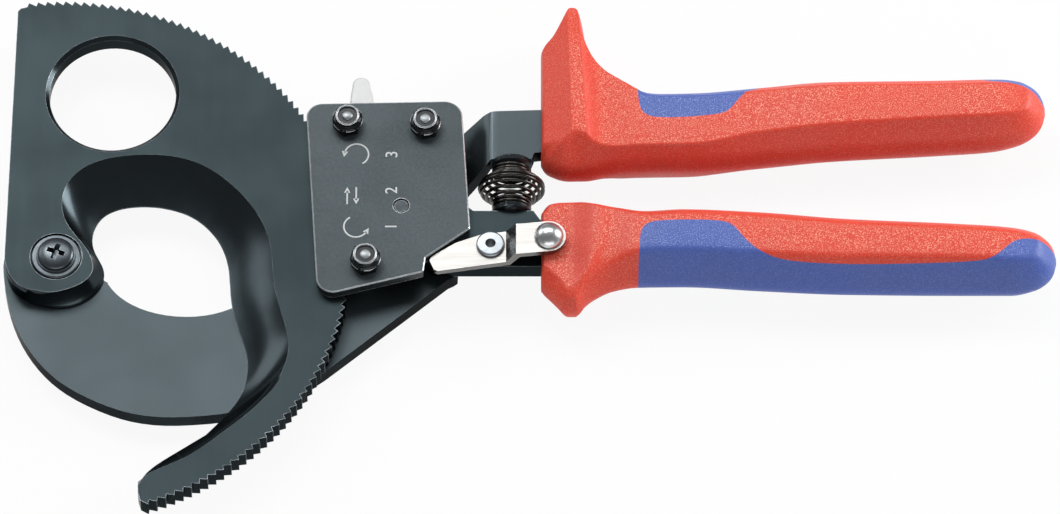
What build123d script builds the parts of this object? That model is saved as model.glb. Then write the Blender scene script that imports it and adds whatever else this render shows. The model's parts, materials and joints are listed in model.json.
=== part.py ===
from build123d import *

import os
from math import asin, cos, degrees, pi, radians, sin

# Ratchet cable cutter, lying flat: +X runs from the jaws to the handles, +Z is up.
# Everything is drawn around the blade pivot, with Z measured from the underside of the
# fixed plate, and is moved at the end so that the origin is the centre of the footprint.
# The most skilful feature is the ratchet: the toothed rim of the moving blade, the feed
# pawl that drives it, the retaining pawl that holds it, and the hollow ground cutting edge.

# ---------------------------------------------------------------- stack of layers
PLATE_THICK = 5.0
LAYER_GAP = 0.1
BLADE_THICK = 5.8
COVER_GAP = 0.4
COVER_THICK = 3.0
RUN_CLEARANCE = 0.05
THREAD_CLEARANCE = 0.02

BLADE_BOTTOM = PLATE_THICK + LAYER_GAP
BLADE_TOP = BLADE_BOTTOM + BLADE_THICK
COVER_BOTTOM = BLADE_TOP + COVER_GAP
COVER_TOP = COVER_BOTTOM + COVER_THICK
SPACER_LENGTH = COVER_BOTTOM - PLATE_THICK
SHANK_BOTTOM = BLADE_BOTTOM + 0.1
SHANK_TOP = BLADE_TOP
GRIP_MID = (SHANK_BOTTOM + SHANK_TOP) / 2

# ---------------------------------------------------------------- ratchet
TOOTH_RADIUS = 78.6
TOOTH_DEPTH = 1.2
TEETH_PER_TURN = 200
TOOTH_PITCH = 360 / TEETH_PER_TURN
TIP_PHASE = 35.5
STEEP_SHARE = 0.235
FIRST_TOOTH = -59
LAST_TOOTH = 34
PAWL_GAP = 0.06
FEED_TOOTH = -19
RETAIN_TOOTH = -9

# ---------------------------------------------------------------- jaws
HOLE_CENTRE = (14.0, 49.9)
HOLE_RADIUS = 17.0
HOLE_CHAMFER = 1.0
JAW_CENTRE = (35.5, 11.0)
JAW_RADIUS = 26.0
HUB_RADIUS = 14.3
PIVOT_SCREW_RADIUS = 2.5
PIVOT_CLEARANCE = 0.1
PIVOT_BORE_RADIUS = PIVOT_SCREW_RADIUS + PIVOT_CLEARANCE
BUSH_RADIUS = 4.5
COUNTERBORE_RADIUS = 6.95
COUNTERBORE_DEPTH = 1.5
WASHER_CLEARANCE = 0.35
WASHER_THICK = 1.3
BUSH_STANDS_OUT = 0.4
EDGE_LAND = 0.35
GRIND_START_LEAN = 13.0
GRIND_END_LEAN = 40.0

# ---------------------------------------------------------------- housing
BOLT_SPOTS = [(77.3, 38.5), (98.1, 37.6), (82.4, -3.8)]
BOLT_RADIUS = 2.0
BOLT_CLEARANCE = 0.1
BOLT_HOLE_RADIUS = BOLT_RADIUS + BOLT_CLEARANCE
BOLT_HEAD_HEIGHT = 2.8
BOLT_STICKS_OUT = 0.1
BOLT_TIP_RADIUS = 1.45
BOLT_TIP_LENGTH = 1.5
NUT_ACROSS_FLATS = 7.0
NUT_HEIGHT = 5.0
NUT_COLLAR_RADIUS = 3.15
INSERT_RADIUS = 2.65
INSERT_SEAT_DEPTH = 1.6
SPACER_RADII = [3.0, 4.0, 3.2]

# ---------------------------------------------------------------- handle pivot and pawls
HANDLE_PIVOT = (91.8, 13.6)
HANDLE_PIN_RADIUS = 3.5
HANDLE_SPIGOT_RADIUS = 2.15
FEED_PIVOT = (82.0, 13.9)
FEED_PIN_RADIUS = 1.5
FEED_LOBE_RADIUS = 3.1
FEED_EYE_RADIUS = 2.8
FEED_PAWL_THICK = 2.8
FORK_CLEARANCE = 0.1
HEAD_RADIUS = 5.6
POST_SPOT = (87.6, 29.6)
POST_RADIUS = 1.2

# ---------------------------------------------------------------- latch
RIVET_SPOT = (115.6, 2.2)
RIVET_RADIUS = 2.3
RIVET_BORE = 1.4
KNOB_SPOT = (131.1, 2.7)
KNOB_RADIUS = 3.9
LATCH_THICK = 1.9
LATCH_WASHER_THICK = 0.3
LATCH_BOTTOM = SHANK_TOP + LATCH_WASHER_THICK
LATCH_TOP = LATCH_BOTTOM + LATCH_THICK
LATCH_RISE = 4.0
THUMB_TOP = round(LATCH_TOP + LATCH_RISE, 3)

# ---------------------------------------------------------------- arm and spring
ARM_RISE = 5.6
ARM_THICK = 5.0
BEND_START = 109.5
BEND_END = 117.0
BEND_CREST = 6.5
BEND_HOLLOW = 2.0
SPRING_X = 121.2
SPRING_BOTTOM = 15.5
SPRING_TOP = 28.7
SPRING_END_RADIUS = 4.6
SPRING_BELLY = 4.1
SPRING_WIRE = 0.5
SPRING_TURNS = 8.5
SEAT_RADIUS = 5.3
SEAT_THICK = 1.3
SEAT_PEG_RADIUS = 3.4

# ---------------------------------------------------------------- grips
GRIP_FRONT = 129.0
GUARD_END = 155.0
GRIP_LENGTH = 137.2
GRIP_SKIN = 2.2
# Length of the lower grip behind its guard, as the outlines below are drawn.
DRAWN_LENGTH = 111.2


def polar(radius, degrees):
    """A point on a circle about the blade pivot."""
    return (radius * cos(radians(degrees)), radius * sin(radians(degrees)))


def spread(rows):
    """Rows drawn along the tool, with what lies behind the guards spread to GRIP_LENGTH."""
    stretch = (GRIP_FRONT + GRIP_LENGTH - GUARD_END) / DRAWN_LENGTH
    return [
        (GUARD_END + (row[0] - GUARD_END) * (stretch if row[0] > GUARD_END else 1.0), *row[1:])
        for row in rows
    ]


def tooth_tip(number):
    """Angle of a tooth tip about the blade pivot."""
    return TIP_PHASE + number * TOOTH_PITCH


# ---------------------------------------------------------------- frame: fixed blade and arm
FRAME_OUTER = [
    (-14.3, 0.0), (-13.0, -9.7), (-9.8, -19.5), (-5.4, -27.2), (0.9, -34.1),
    (10.3, -40.1), (19.3, -43.7), (28.6, -45.2), (37.6, -45.0), (46.0, -44.0),
    (59.0, -39.5), (71.7, -31.7),
]
FRAME_JAW = [
    (13.6, -5.0), (18.6, -10.4), (24.8, -13.5), (34.7, -15.1), (41.8, -14.3),
    (48.5, -11.6), (54.7, -6.6), (59.0, -0.2), (61.4, 8.0), (61.6, 16.0),
]
UPPER_TANG = spread([
    (127.2, 31.8), (140.0, 33.6), (244.0, 39.0), (246.0, 41.0), (246.0, 46.5), (244.0, 48.5),
    (140.0, 45.0), (128.5, 45.0),
])

with BuildPart() as frame:
    with BuildSketch(Plane.XY) as plan:
        with BuildLine() as rim:
            outer = Spline(*FRAME_OUTER)
            right = Polyline(
                FRAME_OUTER[-1], (104.2, -4.0), (105.6, -3.3), (106.8, -2.4), (107.3, 7.0),
                (107.6, 21.5), (110.0, 24.4), (114.2, 28.2), (115.6, 30.02), (126.6, 30.02),
                *UPPER_TANG, (115.6, 44.6), (113.5, 43.8), (108.2, 40.6), (105.5, 44.8),
                (69.6, 44.4), (66.8, 41.8), FRAME_JAW[-1],
            )
            jaw = Spline(*reversed(FRAME_JAW))
            hub = ThreePointArc(FRAME_JAW[0], (0.0, HUB_RADIUS), FRAME_OUTER[0])
        make_face()
    extrude(amount=BLADE_TOP)
    # The arm is joggled up, so that both handles lie in one plane.
    with BuildSketch(Plane.XZ) as side:
        Polygon(
            (-40.0, 0.0), (BEND_START, 0.0), (BEND_END, ARM_RISE), (300.0, ARM_RISE),
            (300.0, ARM_RISE + ARM_THICK), (BEND_END - 1.6, ARM_RISE + ARM_THICK),
            (BEND_START - 1.6, PLATE_THICK), (-40.0, PLATE_THICK),
            align=None,
        )
        crests = (
            (BEND_END - 1.6, ARM_RISE + ARM_THICK, BEND_CREST), (BEND_START, 0.0, BEND_CREST),
            (BEND_END, ARM_RISE, BEND_HOLLOW), (BEND_START - 1.6, PLATE_THICK, BEND_HOLLOW),
        )
        for along, up, rounding in crests:
            bend = side.vertices().sort_by_distance((along, up, 0))[0]
            fillet(bend, rounding)
    extrude(amount=200, both=True, mode=Mode.INTERSECT)
    # Ground edge of the fixed jaw: full size at the shear plane, wider towards the back.
    with BuildSketch(Plane.XY.offset(PLATE_THICK - 0.6)) as edge_top:
        with Locations(JAW_CENTRE):
            Circle(JAW_RADIUS + 0.01)
    with BuildSketch(Plane.XY.offset(-0.01)) as edge_bottom:
        with Locations(JAW_CENTRE):
            Circle(JAW_RADIUS + 7.0)
    loft(mode=Mode.SUBTRACT)
    with BuildSketch(Plane.XY) as holes:
        Circle(PIVOT_BORE_RADIUS)
        with Locations(HANDLE_PIVOT):
            Circle(HANDLE_SPIGOT_RADIUS + THREAD_CLEARANCE)
        with Locations(*BOLT_SPOTS):
            Circle(BOLT_HOLE_RADIUS)
        with Locations(POST_SPOT):
            Circle(POST_RADIUS)
    extrude(amount=PLATE_THICK, mode=Mode.SUBTRACT)
frame.part.label = "fixed_blade_frame"

# ---------------------------------------------------------------- moving blade
EDGE_PAIRS = [
    ((22.9, -64.8), (23.3, -68.3)),
    ((25.3, -62.5), (25.6, -64.6)),
    ((31.2, -58.0), (31.3, -59.5)),
    ((37.7, -53.4), (38.4, -54.6)),
    ((43.2, -47.9), (45.6, -50.2)),
    ((46.2, -44.4), (50.4, -46.4)),
    ((49.3, -39.7), (55.6, -41.8)),
    ((51.0, -34.2), (60.0, -35.6)),
    ((51.0, -27.0), (62.2, -27.8)),
    ((48.6, -19.0), (61.0, -20.0)),
    ((46.8, -12.0), (58.9, -12.2)),
    ((46.2, -6.0), (57.8, -5.0)),
    ((45.6, 0.0), (57.2, 2.4)),
    ((43.6, 6.2), (55.0, 9.8)),
    ((40.0, 11.4), (50.6, 17.2)),
    ((35.6, 15.0), (44.6, 23.6)),
    ((30.8, 17.0), (37.6, 28.4)),
    ((25.6, 18.0), (30.4, 30.6)),
    ((20.4, 18.0), (22.6, 31.1)),
    ((15.6, 17.0), (14.4, 30.2)),
    ((12.0, 14.8), (7.2, 27.4)),
    ((10.0, 11.6), (2.6, 22.4)),
    ((9.3, 8.2), (1.2, 15.4)),
    ((9.8, 4.8), (3.4, 8.8)),
    ((11.2, 1.8), (7.4, 3.4)),
    ((12.6, -1.8), (9.6, -1.2)),
    ((12.2, -5.4), (9.8, -4.4)),
    ((9.3, -9.6), (7.8, -7.4)),
    ((4.0, -12.4), (3.4, -9.8)),
    ((-2.0, -12.5), (-1.8, -10.9)),
    ((-7.8, -10.7), (-7.2, -9.9)),
]
HUB_CORNER = [(-13.7, 0.0), (-13.0, -4.2), (-10.8, -8.2), (-7.5, -10.5)]


def ground_contour(share):
    """Contour of the hollow grind between the cutting edge (0) and the upper face (1)."""
    return [
        (low[0] + (high[0] - low[0]) * share, low[1] + (high[1] - low[1]) * share)
        for low, high in EDGE_PAIRS
    ]


GRIND_RISE = BLADE_THICK - EDGE_LAND
GRIND_STEPS = 9
GRIND_HEIGHTS = [-0.01, EDGE_LAND] + [
    EDGE_LAND + GRIND_RISE * step / GRIND_STEPS for step in range(1, GRIND_STEPS)
] + [BLADE_THICK + 0.01]


def grind_share(height):
    """How far out the grind is at a height above the blade's lower face, from 0 to 1."""
    rise = min(max((height - EDGE_LAND) / GRIND_RISE, 0.0), 1.0)
    lean = radians(GRIND_START_LEAN)
    turn = radians(GRIND_END_LEAN) - lean
    # The arc leans by lean at the edge and by lean + turn at the upper face.
    steps = 40
    climbed, gone = [0.0], [0.0]
    for step in range(steps):
        angle = lean + turn * (step + 0.5) / steps
        climbed.append(climbed[-1] + sin(angle))
        gone.append(gone[-1] + cos(angle))
    wanted = rise * climbed[-1]
    for step in range(steps):
        if climbed[step + 1] >= wanted - 1e-9:
            part = (wanted - climbed[step]) / (climbed[step + 1] - climbed[step])
            return (gone[step] + part * (gone[step + 1] - gone[step])) / gone[-1]
    return 1.0


with BuildPart() as moving_blade:
    rim_points = []
    for number in range(FIRST_TOOTH, LAST_TOOTH + 1):
        rim_points.append(polar(TOOTH_RADIUS, tooth_tip(number)))
        rim_points.append(
            polar(TOOTH_RADIUS - TOOTH_DEPTH, tooth_tip(number) + STEEP_SHARE * TOOTH_PITCH)
        )
    with BuildSketch(Plane.XY.offset(BLADE_BOTTOM)) as blade_plan:
        with BuildLine() as blade_rim:
            Polyline(
                (22.9, -63.8), (23.2, -70.8), (23.9, -73.0), *rim_points,
                (-11.4, 76.3), (-12.1, 75.4), HUB_CORNER[0],
            )
            Spline(*HUB_CORNER)
            Polyline(HUB_CORNER[-1], (0.0, -20.0), (10.0, -40.0), (22.9, -63.8))
        make_face()
    extrude(amount=BLADE_THICK)
    # Hollow ground cutting edge: the grinding wheel leaves an arc, flat near the edge and
    # steeper towards the upper face. A narrow upright land stays at the edge itself.
    for height in GRIND_HEIGHTS:
        contour = ground_contour(grind_share(height))
        with BuildSketch(Plane.XY.offset(BLADE_BOTTOM + height)) as grind:
            with BuildLine() as grind_line:
                Spline(*contour)
                Polyline(contour[-1], (-22.0, -22.0), (-12.0, -92.0), contour[0])
            make_face()
    loft(ruled=True, mode=Mode.SUBTRACT)
    with BuildSketch(Plane.XY.offset(BLADE_BOTTOM)) as blade_holes:
        Circle(BUSH_RADIUS + RUN_CLEARANCE)
        with Locations(HOLE_CENTRE):
            Circle(HOLE_RADIUS)
    extrude(amount=BLADE_THICK, mode=Mode.SUBTRACT)
    with BuildSketch(Plane.XY.offset(BLADE_TOP)) as counterbore:
        Circle(COUNTERBORE_RADIUS)
    extrude(amount=-COUNTERBORE_DEPTH, mode=Mode.SUBTRACT)
    ring = moving_blade.edges().filter_by(GeomType.CIRCLE).sort_by(Axis.Z)
    ring = ring.filter_by(lambda e: abs(e.radius - HOLE_RADIUS) < 0.01)
    chamfer(ring[-1], HOLE_CHAMFER)
    chamfer(
        moving_blade.edges()
        .filter_by(GeomType.CIRCLE)
        .filter_by(lambda e: abs(e.radius - HOLE_RADIUS) < 0.01)
        .sort_by(Axis.Z)[0],
        0.5,
    )
moving_blade.part.label = "moving_blade"

# ---------------------------------------------------------------- blade pivot
WASHER_BOTTOM = BLADE_TOP - COUNTERBORE_DEPTH + BUSH_STANDS_OUT
WASHER_TOP = WASHER_BOTTOM + WASHER_THICK

with BuildPart() as pivot_bush:
    with BuildSketch(Plane.XY.offset(PLATE_THICK)) as bush_plan:
        Circle(BUSH_RADIUS)
        Circle(PIVOT_BORE_RADIUS, mode=Mode.SUBTRACT)
    extrude(amount=WASHER_BOTTOM - PLATE_THICK)
    chamfer(pivot_bush.edges().group_by(Axis.Z)[-1], 0.25)
pivot_bush.part.label = "pivot_bush"

with BuildPart() as pivot_washer:
    with BuildSketch(Plane.XY.offset(WASHER_BOTTOM)) as washer_plan:
        Circle(COUNTERBORE_RADIUS - WASHER_CLEARANCE)
        Circle(PIVOT_BORE_RADIUS, mode=Mode.SUBTRACT)
    extrude(amount=WASHER_TOP - WASHER_BOTTOM)
    fillet(pivot_washer.faces().sort_by(Axis.Z)[-1].outer_wire().edges(), 0.5)
pivot_washer.part.label = "pivot_washer"

with BuildPart() as pivot_screw:
    with BuildSketch(Plane.XZ) as screw_side:
        with BuildLine() as screw_line:
            Polyline(
                (0.0, -BOLT_HEAD_HEIGHT + 0.1), (PIVOT_SCREW_RADIUS - 0.3, -BOLT_HEAD_HEIGHT + 0.1),
                (PIVOT_SCREW_RADIUS, -BOLT_HEAD_HEIGHT + 0.4), (PIVOT_SCREW_RADIUS, WASHER_TOP),
                (5.0, WASHER_TOP),
                (5.0, WASHER_TOP + 1.1),
            )
            ThreePointArc(
                (5.0, WASHER_TOP + 1.1), (2.9, WASHER_TOP + 2.25), (0.0, WASHER_TOP + 2.7)
            )
            Line((0.0, WASHER_TOP + 2.7), (0.0, -BOLT_HEAD_HEIGHT + 0.1))
        make_face()
    revolve(axis=Axis.Z)
    with BuildSketch(Plane.XY.offset(WASHER_TOP + 3.0)) as cross_top:
        Rectangle(4.9, 1.15, rotation=28)
        Rectangle(1.15, 4.9, rotation=28)
        Circle(1.15)
    with BuildSketch(Plane.XY.offset(WASHER_TOP + 0.7)) as cross_bottom:
        Rectangle(2.3, 0.8, rotation=28)
        Rectangle(0.8, 2.3, rotation=28)
        Circle(0.8)
    loft(mode=Mode.SUBTRACT)
pivot_screw.part.label = "pivot_screw"

with BuildPart() as pivot_nut:
    with BuildSketch(Plane.XY.offset(-BOLT_HEAD_HEIGHT + 0.2)) as pivot_nut_plan:
        RegularPolygon(4.0, 6, major_radius=False)
        Circle(PIVOT_SCREW_RADIUS + THREAD_CLEARANCE, mode=Mode.SUBTRACT)
    extrude(amount=BOLT_HEAD_HEIGHT - 0.2)
    with BuildSketch(Plane.XZ) as pivot_nut_cone:
        Polygon(
            (3.9, -BOLT_HEAD_HEIGHT), (6.0, -BOLT_HEAD_HEIGHT), (6.0, -BOLT_HEAD_HEIGHT + 1.5),
            align=None,
        )
    revolve(axis=Axis.Z, mode=Mode.SUBTRACT)
pivot_nut.part.label = "pivot_nut"

# ---------------------------------------------------------------- cover plate
COVER_CORNERS = [
    ((66.0, 44.9), 4.2), ((107.8, 45.8), 5.0), ((110.15, 6.6), 1.3),
    ((98.35, -2.2), 0.0), ((97.8, -6.46), 0.9), ((69.7, -13.9), 4.5),
]

with BuildPart() as cover_plate:
    with BuildSketch(Plane.XY.offset(COVER_BOTTOM)) as cover_plan:
        Polygon(*[spot for spot, _ in COVER_CORNERS], align=None)
        for spot, rounding in COVER_CORNERS:
            if rounding > 0:
                fillet(cover_plan.vertices().sort_by_distance((*spot, COVER_BOTTOM))[0], rounding)
        with Locations(*BOLT_SPOTS):
            Circle(BOLT_HOLE_RADIUS, mode=Mode.SUBTRACT)
        with Locations(HANDLE_PIVOT):
            Circle(HANDLE_SPIGOT_RADIUS + RUN_CLEARANCE, mode=Mode.SUBTRACT)
    extrude(amount=COVER_THICK)
    chamfer(cover_plate.faces().sort_by(Axis.Z)[-1].outer_wire().edges(), 0.3)
cover_plate.part.label = "cover_plate"

# ---------------------------------------------------------------- bolts, nuts and spacers
BOLT_END = COVER_TOP + NUT_HEIGHT + BOLT_STICKS_OUT

with BuildPart() as housing_bolts:
    with BuildSketch(Plane.XY.offset(-BOLT_HEAD_HEIGHT)) as heads:
        with Locations(*BOLT_SPOTS):
            RegularPolygon(NUT_ACROSS_FLATS / 2, 6, major_radius=False)
    extrude(amount=BOLT_HEAD_HEIGHT)
    chamfer(housing_bolts.faces().group_by(Axis.Z)[0].edges(), 0.35)
    with BuildSketch(Plane.XY) as shafts:
        with Locations(*BOLT_SPOTS):
            Circle(BOLT_RADIUS)
    extrude(amount=BOLT_END - BOLT_TIP_LENGTH)
    with BuildSketch(Plane.XY.offset(BOLT_END - BOLT_TIP_LENGTH)) as tips:
        with Locations(*BOLT_SPOTS):
            Circle(BOLT_TIP_RADIUS)
    extrude(amount=BOLT_TIP_LENGTH)
    chamfer(housing_bolts.faces().group_by(Axis.Z)[-1].edges(), 0.3)
housing_bolts.part.label = "housing_bolts"

with BuildPart() as lock_nuts:
    for spot in BOLT_SPOTS:
        with BuildSketch(Plane.XY.offset(COVER_TOP)) as nut_plan:
            with Locations(spot):
                RegularPolygon(NUT_ACROSS_FLATS / 2, 6, major_radius=False, rotation=14)
        extrude(amount=NUT_HEIGHT - 1.3)
        # The upper corners are turned off to a cone, and a round collar holds the insert.
        with BuildSketch(Plane.XY.offset(COVER_TOP + NUT_HEIGHT - 2.2)) as cone_plan:
            with Locations(spot):
                Circle(NUT_ACROSS_FLATS / 2 + 0.6)
        extrude(amount=1.6, taper=42, mode=Mode.ADD)
        with BuildSketch(Plane.XY.offset(COVER_TOP + NUT_HEIGHT - 2.0)) as collar_plan:
            with Locations(spot):
                Circle(NUT_COLLAR_RADIUS)
        extrude(amount=2.0)
    with BuildSketch(Plane.XY.offset(COVER_TOP)) as nut_bore:
        with Locations(*BOLT_SPOTS):
            Circle(BOLT_RADIUS + THREAD_CLEARANCE)
    extrude(amount=NUT_HEIGHT, mode=Mode.SUBTRACT)
    with BuildSketch(Plane.XY.offset(COVER_TOP + NUT_HEIGHT)) as insert_seat:
        with Locations(*BOLT_SPOTS):
            Circle(INSERT_RADIUS)
    extrude(amount=-INSERT_SEAT_DEPTH, mode=Mode.SUBTRACT)
lock_nuts.part.label = "lock_nuts"

with BuildPart() as nut_inserts:
    with BuildSketch(Plane.XY.offset(COVER_TOP + NUT_HEIGHT - INSERT_SEAT_DEPTH)) as insert_plan:
        with Locations(*BOLT_SPOTS):
            Circle(INSERT_RADIUS)
            Circle(BOLT_TIP_RADIUS + THREAD_CLEARANCE, mode=Mode.SUBTRACT)
    extrude(amount=1.2)
    with BuildSketch(Plane.XY.offset(COVER_TOP + NUT_HEIGHT - INSERT_SEAT_DEPTH)) as insert_bore:
        with Locations(*BOLT_SPOTS):
            Circle(BOLT_RADIUS + THREAD_CLEARANCE)
    extrude(amount=0.25, mode=Mode.SUBTRACT)
nut_inserts.part.label = "nut_inserts"

with BuildPart() as bolt_spacers:
    with BuildSketch(Plane.XY.offset(PLATE_THICK)) as spacer_plan:
        for spot, radius in zip(BOLT_SPOTS, SPACER_RADII):
            with Locations(spot):
                Circle(radius)
                Circle(BOLT_HOLE_RADIUS, mode=Mode.SUBTRACT)
    extrude(amount=SPACER_LENGTH)
bolt_spacers.part.label = "bolt_spacers"

# ---------------------------------------------------------------- retaining pawl
PAWL_BOTTOM = BLADE_BOTTOM + 0.2
PAWL_TOP = BLADE_TOP - 0.2


def pawl_nose(tooth, reach, ease):
    """Nose of a pawl: its point in the gap past a tooth, its steep side out to reach.

    The steep side stands ease back from the tooth, so that the nose can swing out past it.
    """
    root = tooth_tip(tooth) + STEEP_SHARE * TOOTH_PITCH
    steep = STEEP_SHARE * TOOTH_PITCH / TOOTH_DEPTH
    slant = (1 - STEEP_SHARE) * TOOTH_PITCH / TOOTH_DEPTH
    turn = PAWL_GAP / TOOTH_RADIUS * 57.3
    back_off = turn + ease / TOOTH_RADIUS * 57.3
    lift = PAWL_GAP * 2.2 + (back_off - turn) / slant
    back = polar(TOOTH_RADIUS + reach, root - steep * (TOOTH_DEPTH + reach - lift) + back_off)
    point = polar(TOOTH_RADIUS - TOOTH_DEPTH + lift, root + back_off)
    front = polar(TOOTH_RADIUS + 0.12, root + slant * (TOOTH_DEPTH + 0.12 - lift) + turn)
    return back, point, front


RETAIN_PIVOT = BOLT_SPOTS[0]
retain_back, retain_point, retain_front = pawl_nose(RETAIN_TOOTH, 2.0, 0.22)

with BuildPart() as retaining_pawl:
    with BuildSketch(Plane.XY.offset(PAWL_BOTTOM)) as retain_plan:
        with Locations(RETAIN_PIVOT):
            Circle(5.0)
        Polygon(
            retain_back, retain_point, retain_front,
            polar(TOOTH_RADIUS + 0.7, tooth_tip(RETAIN_TOOTH) + 3.4), (73.4, 35.4),
            (81.9, 36.6), (79.6, 29.0),
            align=None,
        )
        Polygon((75.6, 42.5), (78.9, 46.2), (83.0, 46.2), (81.5, 41.0), align=None)
        with Locations(RETAIN_PIVOT):
            Circle(SPACER_RADII[0] + RUN_CLEARANCE, mode=Mode.SUBTRACT)
    extrude(amount=PAWL_TOP - PAWL_BOTTOM)
    with BuildSketch(Plane.XY.offset(GRIP_MID - 1.0)) as tongue:
        Polygon((79.4, 46.2), (79.7, 52.0), (81.9, 52.0), (82.4, 46.2), align=None)
    extrude(amount=2.0)
retaining_pawl.part.label = "retaining_pawl"

with BuildPart() as release_tab:
    with BuildSketch(Plane.XY.offset(GRIP_MID - 2.5)) as tab_plan:
        with BuildLine() as tab_line:
            Polyline((77.7, 46.2), (78.0, 50.0), (78.4, 52.6))
            ThreePointArc((78.4, 52.6), (80.8, 55.3), (83.2, 52.4))
            Polyline((83.2, 52.4), (84.0, 49.4), (84.2, 46.2), (77.7, 46.2))
        make_face()
    extrude(amount=5.0)
    fillet(release_tab.faces().group_by(Axis.Z)[-1].edges(), 0.7)
    with BuildSketch(Plane.XY.offset(GRIP_MID - 1.0)) as tab_slot:
        Polygon((79.4, 46.2), (79.7, 52.0), (81.9, 52.0), (82.4, 46.2), align=None)
    extrude(amount=2.0, mode=Mode.SUBTRACT)
release_tab.part.label = "release_tab"

with BuildPart() as pawl_spring_post:
    with BuildSketch(Plane.XY.offset(0.4)) as post_plan:
        with Locations(POST_SPOT):
            Circle(POST_RADIUS)
    extrude(amount=COVER_BOTTOM - 0.7)
pawl_spring_post.part.label = "pawl_spring_post"

COIL_RADIUS = POST_RADIUS + 0.7
COIL_BOTTOM = 6.4
COIL_HEIGHT = 2.7

with BuildPart() as pawl_spring:
    with BuildLine() as coil_line:
        Helix(pitch=0.9, height=COIL_HEIGHT, radius=COIL_RADIUS, center=(*POST_SPOT, COIL_BOTTOM))
    turns = coil_line.edges()[0]
    with BuildSketch(Plane(turns @ 0, z_dir=turns % 0)) as coil_wire:
        Circle(0.35)
    sweep(path=turns, is_frenet=True)
    coil_top = COIL_BOTTOM + COIL_HEIGHT
    leg_starts = (
        (POST_SPOT[0] + COIL_RADIUS, POST_SPOT[1], COIL_BOTTOM),
        (POST_SPOT[0], POST_SPOT[1] + COIL_RADIUS, coil_top),
    )
    leg_ends = ((89.9, 38.3, COIL_BOTTOM), (81.6, 30.9, coil_top))
    for start, finish in zip(leg_starts, leg_ends):
        with BuildLine() as leg_line:
            Line(start, finish)
        leg = leg_line.edges()[0]
        with BuildSketch(Plane(leg @ 0, z_dir=leg % 0)) as leg_wire:
            Circle(0.35)
        sweep(path=leg)
pawl_spring.part.label = "pawl_spring"

# ---------------------------------------------------------------- handle pivot and feed pawl
with BuildPart() as handle_pin:
    with BuildSketch(Plane.XY.offset(PLATE_THICK)) as pin_body:
        with Locations(HANDLE_PIVOT):
            Circle(HANDLE_PIN_RADIUS)
    extrude(amount=SPACER_LENGTH)
    with BuildSketch(Plane.XY.offset(0.3)) as pin_spigot:
        with Locations(HANDLE_PIVOT):
            Circle(HANDLE_SPIGOT_RADIUS)
    extrude(amount=COVER_TOP - 0.6)
    chamfer(handle_pin.edges().group_by(Axis.Z)[-1], 0.4)
handle_pin.part.label = "handle_pivot_pin"

feed_back, feed_point, feed_front = pawl_nose(FEED_TOOTH, 2.0, 0.0)
FEED_BOTTOM = GRIP_MID - FEED_PAWL_THICK / 2

with BuildPart() as feed_pawl:
    with BuildSketch(Plane.XY.offset(FEED_BOTTOM)) as feed_plan:
        with Locations(FEED_PIVOT):
            Circle(FEED_EYE_RADIUS)
        Polygon(
            feed_back, feed_point, feed_front,
            polar(TOOTH_RADIUS + 0.7, tooth_tip(FEED_TOOTH) + 3.2), (79.6, 12.5),
            (84.2, 12.2), (82.1, 5.6),
            align=None,
        )
        with Locations(FEED_PIVOT):
            Circle(FEED_PIN_RADIUS + RUN_CLEARANCE, mode=Mode.SUBTRACT)
    extrude(amount=FEED_PAWL_THICK)
feed_pawl.part.label = "feed_pawl"

with BuildPart() as feed_pawl_pin:
    with BuildSketch(Plane.XY.offset(SHANK_BOTTOM + 0.1)) as feed_pin_plan:
        with Locations(FEED_PIVOT):
            Circle(FEED_PIN_RADIUS)
    extrude(amount=SHANK_TOP - SHANK_BOTTOM - 0.2)
feed_pawl_pin.part.label = "feed_pawl_pin"

with BuildPart() as feed_pawl_spring:
    with BuildSketch(Plane.XY.offset(GRIP_MID - 1.2)) as leaf_plan:
        with BuildLine() as leaf_line:
            ThreePointArc((94.9, 6.9), (88.6, 4.1), (82.75, 6.7))
            ThreePointArc((82.75, 6.7), (88.6, 3.7), (95.1, 6.5))
            Line((95.1, 6.5), (94.9, 6.9))
        make_face()
    extrude(amount=2.4)
feed_pawl_spring.part.label = "feed_pawl_spring"

# ---------------------------------------------------------------- moving handle shank
LOWER_TANG = spread([
    (127.0, 13.9), (128.8, 11.2), (140.0, 8.6), (246.0, 4.2), (248.0, 2.0), (248.0, -2.4),
    (246.0, -4.4), (140.0, -4.4), (129.0, -3.0),
])

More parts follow.
